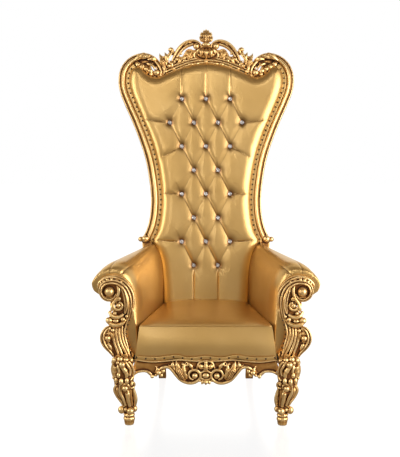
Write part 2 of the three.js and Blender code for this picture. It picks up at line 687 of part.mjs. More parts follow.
// The board that closes the frame under the seat. It fits inside the four rails.
function seatBase(tools) {
  const inside = (railDepth / 2 + gap) / Math.abs(Math.sin(railTurn));
  const railAt = (y) => mapLinear(y, railStart.y, railEnd.y, railStart.x, railEnd.x) - inside;
  const low = frontY + railDepth + gap;
  const high = backLegTopY - railDepth / 2 - gap;
  const outline = [[railAt(low), low], [railAt(high), high], [-railAt(high), high], [-railAt(low), low]];
  const board = loft(outline, 1, (corner, step) =>
    new THREE.Vector3(outline[corner][0], outline[corner][1], underTop - (step ? 0 : baseThickness)));
  return cut(board, tools);
}

// Assembly
const throne = new THREE.Group();
const seat = new THREE.Group();
const back = new THREE.Group();
back.position.set(0, backRootY, backRootZ);
back.rotation.x = -lean;
throne.add(seat, back);

function piece(group, name, solid, material) {
  const geometry = geometryOf(solid).toNonIndexed();
  geometry.computeVertexNormals();
  const mesh = new THREE.Mesh(geometry, material);
  mesh.name = name;
  group.add(mesh);
  return mesh;
}

function pair(group, name, solid, material) {
  piece(group, name + "_left", mirrored(solid), material);
  piece(group, name + "_right", solid, material);
}

const frontLegSpace = bothSides(legCore(gap));
const backLegSpace = bothSides(backLeg(gap));
const stileSpace = moved(stileBody(gap), backFrame);
const armSpaces = bothSides(armPad(gap)).map((solid) => moved(solid, intoBack));

pair(seat, "front_leg", frontLeg(), gilding);
pair(seat, "back_leg", backLeg(), gilding);
piece(seat, "front_rail", frontRail(frontLegSpace), gilding);
pair(seat, "side_rail", sideRail([...frontLegSpace, ...backLegSpace]), gilding);
piece(seat, "back_rail", backRail(backLegSpace), gilding);
piece(seat, "seat_base", seatBase([...frontLegSpace, ...backLegSpace]), lining);
piece(seat, "seat_pad", seatPad(), leather);
pair(seat, "arm_pad", cut(armPad(), behindBack(postFront + gap), stileSpace), leather);
pair(seat, "arm_facing", armFacing(), gilding);

const padTools = [...armSpaces, moved(belowTop(overTop), intoBack)];
pair(back, "stile", stile(), gilding);
piece(back, "crest", crest(), gilding);
piece(back, "back_pad", backPad(padTools), leather);
piece(back, "back_board", backBoard(), leather);
buttonRows.forEach((columns, row) => columns.forEach((column, i) => {
  const stud = piece(back, `button_${row + 1}_${i + 1}`, button(), crystal);
  const rim = tuftDepth * (buttonRadius / Math.min(tuftAcross, tuftRise / 2));
  stud.position.set(column * tuftAcross, -padOut(column, row) - rim - gap, topRow - row * tuftRise);
}));

// The origin goes under the middle of the whole throne.
const box = new THREE.Box3().setFromObject(throne);
seat.position.y -= (box.min.y + box.max.y) / 2;
back.position.y -= (box.min.y + box.max.y) / 2;

export default throne;
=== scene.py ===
# A carved and gilded throne with tufted gold upholstery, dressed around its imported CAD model.
import math

import bpy
import numpy as np
from mathutils import Matrix, Vector


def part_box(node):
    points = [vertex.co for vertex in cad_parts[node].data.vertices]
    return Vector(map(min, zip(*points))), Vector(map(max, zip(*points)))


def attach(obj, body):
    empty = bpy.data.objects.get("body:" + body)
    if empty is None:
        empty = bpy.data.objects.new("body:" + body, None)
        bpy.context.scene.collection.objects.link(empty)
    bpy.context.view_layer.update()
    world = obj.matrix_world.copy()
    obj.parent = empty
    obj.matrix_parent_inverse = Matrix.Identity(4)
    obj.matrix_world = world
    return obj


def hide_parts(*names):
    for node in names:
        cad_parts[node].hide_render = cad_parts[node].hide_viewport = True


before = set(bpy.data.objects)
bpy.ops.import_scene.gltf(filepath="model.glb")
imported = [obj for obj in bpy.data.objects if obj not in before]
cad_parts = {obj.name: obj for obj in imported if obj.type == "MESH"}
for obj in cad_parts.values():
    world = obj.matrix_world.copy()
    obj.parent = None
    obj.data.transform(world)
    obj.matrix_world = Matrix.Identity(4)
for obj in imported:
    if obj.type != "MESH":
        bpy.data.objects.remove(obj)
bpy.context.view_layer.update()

mm = 0.001  # every size below is in millimetres, and Blender works in metres

# Places that all pieces share. x runs to the right, y to the back and z up.
chair = {
    "seatFront": -360,  # front of the seat frame, before the model is centred on its box
    "lean": math.radians(8),  # how far the back leans
    "backRoot": (150, 450),  # y and z of the back's own origin
    "frameTop": 303,
    "seatHeight": 447,
}
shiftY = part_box("seat_pad")[0].y / mm - chair["seatFront"]  # what centring the model added to y


# Drawing planes. Carving is drawn as (across, up, out), as a carver draws it on the board.
def standingPlane(y):
    return Matrix(((1, 0, 0, 0), (0, 0, -1, (y + shiftY) * mm), (0, 1, 0, 0), (0, 0, 0, 1)))


def leaningPlane():
    y, z = chair["backRoot"]
    sine, cosine = math.sin(chair["lean"]), math.cos(chair["lean"])
    return Matrix((
        (1, 0, 0, 0), (0, sine, -cosine, (y + shiftY) * mm), (0, cosine, sine, z * mm), (0, 0, 0, 1),
    ))


def deselectAll():
    if bpy.context.object and bpy.context.object.mode != "OBJECT":
        bpy.ops.object.mode_set(mode="OBJECT")
    bpy.ops.object.select_all(action="DESELECT")


def makeActive(piece):
    deselectAll()
    piece.select_set(True)
    bpy.context.view_layer.objects.active = piece


def applyModifier(piece, kind, **values):
    makeActive(piece)
    modifier = piece.modifiers.new(kind.title(), kind)
    for key, value in values.items():
        setattr(modifier, key, value)
    bpy.ops.object.modifier_apply(modifier=modifier.name)


def joinPieces(pieces, name):
    makeActive(pieces[0])
    for piece in pieces:
        piece.select_set(True)
    if len(pieces) > 1:
        bpy.ops.object.join()
    joined = bpy.context.object
    joined.name = joined.data.name = name
    return joined


def editWhole(piece):
    makeActive(piece)
    bpy.ops.object.mode_set(mode="EDIT")
    bpy.ops.mesh.select_all(action="SELECT")


def leaveEdit():
    bpy.ops.mesh.normals_make_consistent(inside=False)
    bpy.ops.object.mode_set(mode="OBJECT")


def mergeDoubles(piece, distance=1e-5):
    editWhole(piece)
    bpy.ops.mesh.remove_doubles(threshold=distance)
    leaveEdit()


# What was set on the object goes into its mesh.
def settle():
    bpy.ops.object.transform_apply(location=True, rotation=True, scale=True)


def smoothShade(piece, angle=None):
    makeActive(piece)
    if angle is None:
        bpy.ops.object.shade_smooth()
    else:
        bpy.ops.object.shade_smooth_by_angle(angle=math.radians(angle))


# A piece drawn on a plane is stood up.
def standUp(piece, plane):
    makeActive(piece)
    piece.matrix_world = plane @ piece.matrix_world
    settle()


def mirroredCopy(piece, name):
    makeActive(piece)
    bpy.ops.object.duplicate()
    copy = bpy.context.object
    copy.name = copy.data.name = name
    bpy.ops.transform.mirror(constraint_axis=(True, False, False), center_override=(0, 0, 0))
    settle()
    editWhole(copy)
    leaveEdit()
    return copy


def vertexArray(mesh):
    points = np.empty(len(mesh.vertices) * 3)
    mesh.vertices.foreach_get("co", points)
    return points.reshape(-1, 3)


# Points on a smooth line through the given ones. Every point may carry further values.
def smoothLine(points, count, closed=False):
    points = np.array(points, float)
    if closed:
        points = np.vstack([points[-1], points, points[0], points[1]])
    else:
        points = np.vstack([2 * points[0] - points[1], points, 2 * points[-1] - points[-2]])
    spans = len(points) - 3
    at = np.linspace(0, spans, count, endpoint=not closed)
    first = np.minimum(at.astype(int), spans - 1)
    t = (at - first)[:, None]
    a, b, c, d = (points[first + k] for k in range(4))
    return 0.5 * (2 * b + (c - a) * t + (2 * a - 5 * b + 4 * c - d) * t ** 2
                  + (3 * b - a - 3 * c + d) * t ** 3)


# Carver's tools

# Sections of carved bars: points (across, out), where 1 is half the bar's width.
sections = {
    "scroll": [(-1, -0.6), (-1, 0.15), (-0.8, 0.55), (-0.5, 0.6), (-0.3, 0.35), (-0.05, 0.4), (0.2, 0.85),
               (0.55, 1), (0.88, 0.65), (1, 0.1), (1, -0.6)],
    "leaf": [(-1, -0.3), (-1, 0.05), (-0.72, 0.42), (-0.5, 0.18), (-0.24, 0.62), (-0.05, 0.34), (0.05, 0.34),
             (0.24, 0.62), (0.5, 0.18), (0.72, 0.42), (1, 0.05), (1, -0.3)],
    "moulding": [(27.5, -34), (27.5, 3), (26, 10), (22.5, 13), (19, 10), (16, 12), (10, 21), (3, 26), (-4, 24),
                 (-8.5, 15), (-10.5, 7), (-27.5, 7), (-27.5, -34)],
}


def addSection(name):
    bpy.ops.curve.primitive_bezier_curve_add(location=(0, 0, 0))
    outline = bpy.context.object
    outline.name = "section_" + name
    outline.data.dimensions = "2D"
    outline.data.splines.clear()
    line = outline.data.splines.new("POLY")
    line.points.add(len(sections[name]) - 1)
    for point, (across, out) in zip(line.points, sections[name]):
        point.co = (across * mm, out * mm, 0, 1)
    line.use_cyclic_u = True
    return outline


# Bars of one section. A line is a list of (across, up, out, half width).
def addBars(lines, section="round", sides=3):
    outline = None if section == "round" else addSection(section)
    bpy.ops.curve.primitive_bezier_curve_add(location=(0, 0, 0))
    bars = bpy.context.object
    bars.data.splines.clear()
    for points in lines:
        line = bars.data.splines.new("BEZIER")
        line.bezier_points.add(len(points) - 1)
        for knot, (across, up, out, size) in zip(line.bezier_points, points):
            knot.co = (across * mm, up * mm, out * mm)
            knot.radius = size
            knot.handle_left_type = knot.handle_right_type = "AUTO"
    bars.data.twist_mode = "Z_UP"
    bars.data.use_fill_caps = True
    bars.data.resolution_u = 5
    if outline:
        bars.data.bevel_mode = "OBJECT"
        bars.data.bevel_object = outline
    else:
        bars.data.bevel_depth = mm
        bars.data.bevel_resolution = sides
    makeActive(bars)
    bpy.ops.object.convert(target="MESH")
    if outline:
        bpy.data.objects.remove(outline)
    return bpy.context.object


# A ball or an egg: (across, up, out, radius) and, where it isn't round, its shares of the radius.
def addBall(across, up, out, radius, shares=(1, 1, 1)):
    bpy.ops.mesh.primitive_uv_sphere_add(
        segments=20, ring_count=12, radius=radius * mm, location=(across * mm, up * mm, out * mm))
    ball = bpy.context.object
    ball.scale = shares
    return ball


# The line of a scroll: along its stem and round its eye. Turns count from the right, and 1 is once round.
def scrollLine(scroll):
    across, up, out = scroll["eye"]
    steps = 12
    line = list(scroll["stem"])
    for turn, radius in zip(np.linspace(*scroll["turns"], steps) * 2 * math.pi, np.linspace(*scroll["radii"], steps)):
        line.append((across + radius * math.cos(turn), up + radius * math.sin(turn), out))
    return [(*point, width) for point, width in zip(line, np.linspace(*scroll["widths"], len(line)))]


# A leaf's line: its rib, and half widths that swell and close again at each lobe.
def leafLine(rib, halfWidth, lobes):
    line = smoothLine(rib, 4 * lobes + 3)
    last = len(line) - 1
    points = []
    for i, (across, up, out) in enumerate(line):
        t = i / last
        notch = 1 - 0.28 * abs(math.cos(math.pi * lobes * t))
        size = halfWidth * math.sin(math.pi * (0.2 + 0.76 * t)) * notch
        points.append((across, up, out, max(size, 0.8)))
    return points


# A flat board with a smooth outline, from one depth to another.
def addBoard(outline, low, high, edge=2.5, smooth=True):
    bpy.ops.curve.primitive_bezier_curve_add(location=(0, 0, (low + high) / 2 * mm))
    board = bpy.context.object
    board.data.dimensions = "2D"
    board.data.fill_mode = "BOTH"
    board.data.splines.clear()
    line = board.data.splines.new("BEZIER")
    line.bezier_points.add(len(outline) - 1)
    for knot, (across, up) in zip(line.bezier_points, outline):
        knot.co = (across * mm, up * mm, 0)
        knot.handle_left_type = knot.handle_right_type = "AUTO" if smooth else "VECTOR"
    line.use_cyclic_u = True
    board.data.resolution_u = 4
    board.data.extrude = ((high - low) / 2 - edge) * mm
    board.data.bevel_depth = edge * mm
    board.data.bevel_resolution = 1
    board.data.offset = -edge * mm
    makeActive(board)
    bpy.ops.object.convert(target="MESH")
    return bpy.context.object


# How deep each point lies in a hollow of the carving: above 0 in hollows, below 0 on edges.
def markHollows(piece):
    mesh = piece.data
    start = vertexArray(mesh)
    count = len(start)
    edges = np.empty(len(mesh.edges) * 2, int)
    mesh.edges.foreach_get("vertices", edges)
    a, b = edges.reshape(-1, 2).T
    degree = np.bincount(a, minlength=count) + np.bincount(b, minlength=count)
    normals = np.empty(count * 3)
    mesh.vertices.foreach_get("normal", normals)
    normals = normals.reshape(-1, 3)
    soft, hollow = start.copy(), np.zeros(count)
    for rounds, depth in ((4, 0.35 * mm), (16, 1.6 * mm)):  # fine hollows, then broad ones
        for _ in range(rounds):
            soft = np.column_stack([
                (np.bincount(a, soft[b, k], count) + np.bincount(b, soft[a, k], count)) / degree
                for k in range(3)])
        hollow += 0.5 * np.clip(((soft - start) * normals).sum(1) / depth, -1.5, 1.5)
    layer = mesh.attributes.new("hollow", "FLOAT", "POINT")
    layer.data.foreach_set("value", np.clip(hollow, -1, 1).astype(np.float32))


def fuse(parts, name):
    piece = joinPieces(parts, name)
    settle()
    mergeDoubles(piece)
    return piece


# One carved piece from its drawing. A drawing with a middle is its right half, and is mirrored.
# The parts are grown together, their stair steps smoothed and the mesh thinned.
def carve(name, drawing, plane, voxel):
    parts = []
    lines = {"round": list(drawing.get("beads", [])), "scroll": drawing.get("rolls", []),
             "leaf": [leafLine(*leaf) for leaf in drawing.get("leaves", [])],
             "moulding": drawing.get("mouldings", [])}
    for scroll in drawing.get("scrolls", []):
        lines["round"].append(scrollLine(scroll))
        parts.append(addBall(*scroll["eye"], scroll["ball"]))
    parts += [addBars(found, section) for section, found in lines.items() if found]
    parts += [addBall(*ball) for ball in drawing.get("balls", [])]
    parts += [addBoard(*board) for board in drawing.get("boards", [])]
    piece = fuse(parts, name)
    if "middle" in drawing:
        applyModifier(piece, "MIRROR", use_axis=(True, False, False), use_mirror_merge=False)
        middle = drawing["middle"]
        centre = [addBall(*ball) for ball in middle["balls"]]
        centre += [addBars([leafLine(*leaf) for leaf in middle["leaves"]], "leaf"), addBars(middle["beads"])]
        piece = fuse([piece] + centre, name)
    standUp(piece, plane)
    applyModifier(piece, "REMESH", mode="VOXEL", voxel_size=voxel * mm, use_smooth_shade=True)
    applyModifier(piece, "SMOOTH", factor=0.5, iterations=2)
    markHollows(piece)
    applyModifier(piece, "DECIMATE", ratio=0.62)
    smoothShade(piece)
    print("carved", name, len(piece.data.polygons), "faces")
    return piece


# The right piece of a pair is carved and the left one is its mirror image.
def carvePair(name, node, drawing, plane, voxel):
    right = carve(name + "_right", drawing, plane, voxel)
    left = mirroredCopy(right, name + "_left")
    finishPiece(right, carvedGold, "gilding", node + "_right")
    finishPiece(left, carvedGold, "gilding", node + "_left")


# Materials

def newGroup(name, inputs, outputs):
    group = bpy.data.node_groups.new(name, "ShaderNodeTree")
    for socket, kind, value in inputs:
        made = group.interface.new_socket(socket, in_out="INPUT", socket_type=kind)
        if value is not None:
            made.default_value = value
    for socket, kind in outputs:
        group.interface.new_socket(socket, in_out="OUTPUT", socket_type=kind)
    return group, group.nodes.new("NodeGroupInput"), group.nodes.new("NodeGroupOutput")


def addNode(tree, kind, links=(), **values):
    node = tree.nodes.new(kind)
    for key, value in values.items():
        setattr(node, key, value)
    for socket, source in links:
        if hasattr(source, "is_output"):
            tree.links.new(source, node.inputs[socket])
        else:
            node.inputs[socket].default_value = source
    return node


def addRamp(tree, source, stops):
    ramp = addNode(tree, "ShaderNodeValToRGB", [("Fac", source)])
    elements = ramp.color_ramp.elements
    while len(elements) < len(stops):
        elements.new(0.5)
    for element, (place, colour) in zip(elements, stops):
        element.position = place
        element.color = (*colour, 1)
    return ramp.outputs["Color"]


def addMath(tree, operation, first, second=0.0, clamp=False):
    node = addNode(tree, "ShaderNodeMath", [(0, first), (1, second)], operation=operation, use_clamp=clamp)
    return node.outputs[0]


# Dark glaze that was wiped off the high places of the gilding and stayed in the hollows.
def makeGlazeGroup():
    group, given, result = newGroup(
        "wipedGlaze",
        [("Glaze", "NodeSocketFloat", 1.0), ("Patches", "NodeSocketFloat", 14.0)],
        [("Colour", "NodeSocketColor"), ("Roughness", "NodeSocketFloat"), ("Height", "NodeSocketFloat")])
    place = addNode(group, "ShaderNodeTexCoord").outputs["Object"]
    hollow = addNode(group, "ShaderNodeAttribute", attribute_name="hollow").outputs["Fac"]
    patches = addNode(group, "ShaderNodeTexNoise", [
        ("Vector", place), ("Scale", given.outputs["Patches"]), ("Detail", 5.0), ("Roughness", 0.6)])
    uneven = addMath(group, "MULTIPLY", addMath(group, "SUBTRACT", patches.outputs["Fac"], 0.5), 0.55)
    strong = addMath(group, "MULTIPLY", hollow, given.outputs["Glaze"])
    depth = addMath(group, "ADD", addMath(group, "MULTIPLY", strong, 0.5), 0.5)
    depth = addMath(group, "ADD", depth, uneven, clamp=True)
    colour = addRamp(group, depth, [
        (0.0, (0.95, 0.68, 0.31)), (0.3, (0.78, 0.46, 0.15)), (0.5, (0.55, 0.28, 0.075)),
        (0.68, (0.26, 0.1, 0.022)), (1.0, (0.06, 0.02, 0.005))])
    group.links.new(colour, result.inputs["Colour"])
    rough = addNode(group, "ShaderNodeMapRange", [("Value", depth), ("From Min", 0.2), ("From Max", 0.9),
                                                   ("To Min", 0.3), ("To Max", 0.62)])
    group.links.new(rough.outputs["Result"], result.inputs["Roughness"])
    brush = addNode(group, "ShaderNodeTexNoise", [("Vector", place), ("Scale", 260.0), ("Detail", 3.0)])
    dents = addNode(group, "ShaderNodeTexNoise", [("Vector", place), ("Scale", 45.0), ("Detail", 2.0)])
    height = addMath(group, "ADD", addMath(group, "MULTIPLY", brush.outputs["Fac"], 0.35), dents.outputs["Fac"])
    group.links.new(height, result.inputs["Height"])
    return group


# Fine pressed grain of the upholstery, with soft wear and slight changes of tone.
def makeGrainGroup():
    group, given, result = newGroup(
        "pressedGrain",
        [("Scale", "NodeSocketFloat", 900.0), ("Tone", "NodeSocketFloat", 1.0)],
        [("Height", "NodeSocketFloat"), ("Tone", "NodeSocketFloat")])
    place = addNode(group, "ShaderNodeTexCoord").outputs["Object"]
    pebbles = addNode(group, "ShaderNodeTexVoronoi", [("Vector", place), ("Scale", given.outputs["Scale"])],
                      feature="SMOOTH_F1")
    creases = addNode(group, "ShaderNodeTexNoise", [("Vector", place), ("Scale", 70.0), ("Detail", 4.0)])
    height = addMath(group, "ADD", pebbles.outputs["Distance"],
                     addMath(group, "MULTIPLY", creases.outputs["Fac"], 0.6))
    group.links.new(height, result.inputs["Height"])
    clouds = addNode(group, "ShaderNodeTexNoise", [("Vector", place), ("Scale", 6.0), ("Detail", 3.0)])
    tone = addMath(group, "MULTIPLY", clouds.outputs["Fac"], given.outputs["Tone"])
    group.links.new(tone, result.inputs["Tone"])
    return group


def newMaterial(name):
    material = bpy.data.materials.new(name)
    material.use_nodes = True
    tree = material.node_tree
    return material, tree, tree.nodes["Principled BSDF"]


def addBump(tree, shader, height, strength, distance):
    bump = addNode(tree, "ShaderNodeBump", [("Height", height), ("Strength", strength), ("Distance", distance)])
    tree.links.new(bump.outputs["Normal"], shader.inputs["Normal"])


def makeGilding(name, glaze):
    material, tree, shader = newMaterial(name)
    group = addNode(tree, "ShaderNodeGroup", node_tree=glazeGroup)
    group.inputs["Glaze"].default_value = glaze
    tree.links.new(group.outputs["Colour"], shader.inputs["Base Color"])
    tree.links.new(group.outputs["Roughness"], shader.inputs["Roughness"])
    shader.inputs["Metallic"].default_value = 0.82
    shader.inputs["Coat Weight"].default_value = 0.15
    shader.inputs["Coat Roughness"].default_value = 0.25
    addBump(tree, shader, group.outputs["Height"], 0.35, 0.0006)
    return material


def makeVinyl():
    material, tree, shader = newMaterial("goldVinyl")
    group = addNode(tree, "ShaderNodeGroup", node_tree=grainGroup)
    colour = addRamp(tree, group.outputs["Tone"], [
        (0.3, (0.64, 0.4, 0.13)), (0.5, (0.68, 0.435, 0.15)), (0.7, (0.71, 0.465, 0.17))])
    # Painted shade: the shade attribute multiplies the colour towards dark brown in the folds, pleats and round the
    # buttons.
    shade = addNode(tree, "ShaderNodeAttribute", attribute_name="shade").outputs["Fac"]
    folded = addNode(tree, "ShaderNodeMix", [(0, shade)], data_type="RGBA", blend_type="MULTIPLY")
    tree.links.new(colour, folded.inputs[6])  # 6 and 7 are the node's two colours
    folded.inputs[7].default_value = (0.2, 0.1, 0.06, 1)
    tree.links.new(folded.outputs[2], shader.inputs["Base Color"])
    shader.inputs["Metallic"].default_value = 0.84
    shader.inputs["Roughness"].default_value = 0.34
    shader.inputs["Coat Weight"].default_value = 0.35
    shader.inputs["Coat Roughness"].default_value = 0.22
    addBump(tree, shader, group.outputs["Height"], 0.16, 0.0005)
    return material


# A plain material whose colour wavers between two tones in small spots
def makeSpotted(name, scale, stops, values, bump=None):
    material, tree, shader = newMaterial(name)
    place = addNode(tree, "ShaderNodeTexCoord").outputs["Object"]
    spots = addNode(tree, "ShaderNodeTexNoise", [("Vector", place), ("Scale", scale)])
    tree.links.new(addRamp(tree, spots.outputs["Fac"], stops), shader.inputs["Base Color"])
    for socket, value in values.items():
        shader.inputs[socket].default_value = value
    if bump:
        addBump(tree, shader, spots.outputs["Fac"], *bump)
    return material


def makeDustCloth():
    material, tree, shader = newMaterial("dustCloth")
    place = addNode(tree, "ShaderNodeTexCoord").outputs["Object"]
    threads = [
        addNode(tree, "ShaderNodeTexWave", [("Vector", place), ("Scale", 320.0), ("Distortion", 0.6)],
                bands_direction=direction).outputs["Fac"]
        for direction in "XY"]
    both = addMath(tree, "MULTIPLY", *threads)
    colour = addRamp(tree, both, [(0.0, (0.012, 0.011, 0.01)), (1.0, (0.035, 0.032, 0.03))])
    tree.links.new(colour, shader.inputs["Base Color"])
    shader.inputs["Roughness"].default_value = 0.95
    shader.inputs["Sheen Weight"].default_value = 0.3
    addBump(tree, shader, both, 0.4, 0.0005)
    return material


# The floor is as white as the ground of the photo, with a faint mirror image of the feet.
def makeFloor():
    material, tree, shader = newMaterial("paleFloor")
    shader.inputs["Base Color"].default_value = (0.3, 0.28, 0.26, 1)
    shader.inputs["Roughness"].default_value = 0.6
    glow = addNode(tree, "ShaderNodeEmission", [("Strength", 1.3)])
    mirror = addNode(tree, "ShaderNodeBsdfGlossy", [("Roughness", 0.25)])
    polished = addNode(tree, "ShaderNodeMixShader", [(0, 0.3), (1, glow.outputs[0]), (2, mirror.outputs[0])])
    seen = addNode(tree, "ShaderNodeLightPath").outputs["Is Camera Ray"]
    both = addNode(tree, "ShaderNodeMixShader", [(0, seen), (1, shader.outputs[0]), (2, polished.outputs[0])])
    tree.links.new(both.outputs[0], tree.nodes["Material Output"].inputs["Surface"])
    return material


glazeGroup = makeGlazeGroup()
grainGroup = makeGrainGroup()
carvedGold = makeGilding("carvedGold", 1.0)
plainGold = makeGilding("plainGold", 0.4)
goldVinyl = makeVinyl()
nailMetal = makeSpotted("darkNails", 120.0, [(0.35, (0.05, 0.028, 0.014)), (0.7, (0.16, 0.1, 0.055))],
                        {"Metallic": 0.9, "Roughness": 0.35})
crystalGlass = makeSpotted("crystal", 300.0, [(0.3, (0.86, 0.86, 0.92)), (0.7, (1.0, 0.98, 0.94))],
                           {"Transmission Weight": 0.9, "Roughness": 0.03, "IOR": 1.6})
silverFoil = makeSpotted("silverFoil", 500.0, [(0.3, (0.62, 0.6, 0.6)), (0.7, (0.86, 0.84, 0.82))],
                         {"Metallic": 0.6, "Roughness": 0.35}, bump=(0.3, 0.0004))
dustCloth = makeDustCloth()
print("materials ready")


def finishPiece(piece, material, slot, *nodes):
    if not piece.data.materials:
        piece.data.materials.append(material)
    else:
        piece.data.materials[0] = material
    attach(piece, "root")
    if nodes:
        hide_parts(*nodes)


# Stiles: the hourglass moulding of the back, its knobs, shoulder leaves and crook
stile = {
    "mouldings": [[
        (298, 312, 0, 1), (276, 360, 0, 1), (262, 410, 0, 1), (254, 470, 0, 1), (253, 535, 0, 1),
        (263, 632, 0, 1), (281, 730, 0, 1), (312, 828, 0, 1), (350, 925, 0, 1), (393, 1023, 0, 1),
        (415, 1085, 0, 1), (419.5, 1134, 0, 1), (412, 1174, 0, 1), (391, 1208, 0, 1), (355, 1233, 0, 0.98),
        (312, 1243, 2, 0.9), (276, 1233, 5, 0.76), (249, 1209, 9, 0.62), (233, 1181, 11, 0.5),
        (233, 1158, 11, 0.4), (246, 1146, 11, 0.34),
    ]],
    "balls": [
        (307, 321, 14, 19), (331, 319, 8, 13.5), (251, 1165, 16, 16.5), (232, 1150, 12, 8),
        (352, 1236, 20, 9, (1.3, 0.9, 0.7)), (322, 1246, 20, 9, (1.3, 0.9, 0.7)),
        (300, 1168, 8, 9, (1.2, 0.8, 0.8)), (281, 1157, 10, 9), (318, 1184, 8, 8, (1.2, 0.8, 0.8)),
    ],
    "leaves": [
        ([(296, 1250, 18), (330, 1248, 30), (368, 1222, 22)], 17, 2),
        ([(272, 1240, 16), (300, 1246, 30), (334, 1232, 25)], 15, 2),
        ([(250, 1222, 14), (270, 1234, 28), (300, 1228, 24)], 13, 1),
        ([(360, 1222, 10), (346, 1206, 18), (334, 1190, 8)], 13, 1),
        ([(338, 1214, 10), (324, 1194, 20), (310, 1176, 8)], 13, 1),
        ([(318, 1204, 10), (304, 1182, 20), (290, 1162, 8)], 12, 1),
        ([(298, 1192, 10), (284, 1174, 20), (268, 1150, 8)], 11, 1),
    ],
    "beads": [
        [(300, 1212, 14, 6), (284, 1206, 18, 7), (268, 1196, 18, 6), (262, 1182, 14, 4)],
        [(222, 1212, 10, 5), (216, 1190, 14, 6), (214, 1168, 12, 5), (222, 1148, 8, 4)],
    ],
    "boards": [
        ([(276, 322), (326, 322), (290, -148), (246, -148)], -33, 4, 2, False),
        ([(240, 1146), (262, 1140), (286, 1146), (312, 1166), (338, 1194), (368, 1196), (384, 1182), (396, 1204),
          (360, 1230), (322, 1238), (292, 1222), (280, 1196), (268, 1176), (250, 1176)], -26, 6, 2),
    ],
}
carvePair("stile_carved", "stile", stile, leaningPlane(), voxel=2.3)

# Crest: arch, two great scrolls, shell, bead and palmette, with pierced foliage beside the crooks
crest = {
    "beads": [
        [(222, 1146, 8, 4), (190, 1163, 10, 5), (142, 1184, 11, 5), (95, 1202, 12, 5), (45, 1213, 13, 5),
         (-4, 1217, 13, 5)],
        [(214, 1166, 10, 4), (180, 1182, 12, 4.5), (138, 1199, 13, 4.5), (92, 1216, 14, 4.5), (44, 1226, 14, 4.5),
         (-4, 1229, 14, 4.5)],
        [(206, 1184, 8, 4), (172, 1198, 12, 5), (132, 1213, 14, 5), (90, 1228, 15, 5), (50, 1238, 15, 4)],
        [(150, 1236, 8, 5), (128, 1232, 14, 6), (108, 1240, 16, 6), (94, 1254, 14, 5), (96, 1270, 12, 4)],
        [(196, 1196, 6, 5), (205, 1216, 12, 6), (196, 1236, 12, 5), (180, 1258, 10, 5), (172, 1276, 10, 5),
         (180, 1292, 10, 4)],
        [(170, 1206, 6, 5), (160, 1222, 12, 6), (148, 1240, 12, 6), (142, 1256, 12, 5)],
        [(58, 1240, 12, 4), (62, 1256, 16, 5), (54, 1270, 16, 5), (42, 1278, 14, 4)],
    ],
    "rolls": [[
        (174, 1206, 4, 8), (164, 1232, 8, 11), (151, 1257, 12, 14), (134, 1282, 14, 16), (111, 1303, 15, 17),
        (85, 1315, 16, 17), (60, 1318, 16, 15), (40, 1310, 16, 12), (30, 1296, 16, 9), (36, 1282, 14, 8),
        (52, 1278, 12, 7),
    ]],
    "balls": [
        (50, 1299, 18, 16.5), (22, 1358, 12, 10), (150, 1233, 16, 9), (205, 1172, 14, 8.5), (189, 1199, 16, 9),
        (184, 1283, 12, 9.5), (77, 1208, 12, 11, (1.35, 0.6, 0.8)), (49, 1211, 12, 11, (1.35, 0.6, 0.8)),
        (128, 1262, 14, 7), (222, 1232, 10, 8), (108, 1226, 16, 8, (1.3, 0.8, 0.8)), (164, 1186, 14, 7),
    ],
    "leaves": [
        ([(210, 1180, 4), (224, 1222, 16), (238, 1266, 8)], 14, 3),
        ([(206, 1202, 4), (200, 1240, 18), (212, 1272, 10)], 12, 2),
        ([(190, 1180, 4), (176, 1206, 18), (186, 1230, 12)], 12, 2),
        ([(172, 1256, 6), (170, 1280, 14), (186, 1298, 8)], 10, 2),
        ([(140, 1200, 6), (134, 1226, 16), (146, 1250, 12)], 12, 2),
        ([(96, 1222, 8), (88, 1250, 18), (102, 1282, 12)], 14, 2),
        ([(64, 1232, 10), (84, 1252, 18), (72, 1278, 14)], 12, 2),
        ([(4, 1322, 10), (22, 1334, 18), (36, 1350, 10)], 13, 1),
        ([(4, 1334, 12), (18, 1354, 20), (26, 1374, 10)], 12, 1),
        ([(2, 1346, 12), (10, 1366, 20), (12, 1386, 10)], 9, 1),
        ([(98, 1278, 8), (84, 1268, 16), (66, 1272, 10)], 10, 1),
        ([(128, 1226, 8), (112, 1240, 18), (104, 1260, 12)], 12, 2),
        ([(120, 1296, 20), (96, 1316, 28), (66, 1318, 22)], 8, 2),
    ],
    "boards": [
        ([(-2, 1212), (30, 1212), (60, 1209), (90, 1200), (120, 1190), (160, 1173), (200, 1153), (222, 1142),
          (228, 1170), (212, 1190), (196, 1214), (172, 1226), (160, 1252), (140, 1254), (124, 1250), (112, 1266),
          (100, 1284), (84, 1290), (60, 1284), (40, 1296), (-2, 1302)], -22, 4, 3),
        ([(192, 1200), (220, 1176), (231, 1226), (236, 1258), (218, 1252), (202, 1258), (190, 1272), (190, 1286),
          (178, 1292), (168, 1276), (160, 1256), (178, 1262), (192, 1246), (190, 1222)], -16, 4, 3),
    ],
    "middle": {
        "balls": [(0, 1307, 20, 22, (1, 0.55, 0.6)), (0, 1262, 12, 46, (1, 0.5, 0.3)), (0, 1360, 8, 14, (1, 1.3, 0.6))],
        "leaves": [
            ([(0, 1316, 8), (0, 1350, 24), (0, 1389, 8)], 19, 3),
            ([(0, 1292, 14), (0, 1266, 30), (0, 1238, 18)], 13, 1),
            *(([(side * across, up, out) for across, up, out in rib], width, 1)
              for rib, width in [([(8, 1292, 14), (22, 1268, 28), (28, 1242, 16)], 12),
                                 ([(16, 1292, 14), (38, 1276, 24), (50, 1254, 12)], 10)]
              for side in (1, -1)),
            ([(0, 1238, 14), (0, 1222, 20), (0, 1206, 12)], 8, 1),
        ],
        "beads": [[(-52, 1284, 12, 4), (-30, 1294, 18, 5), (0, 1296, 20, 5), (30, 1294, 18, 5), (52, 1284, 12, 4)]],
    },
}
crestPiece = carve("crest_carved", crest, leaningPlane(), voxel=1.9)
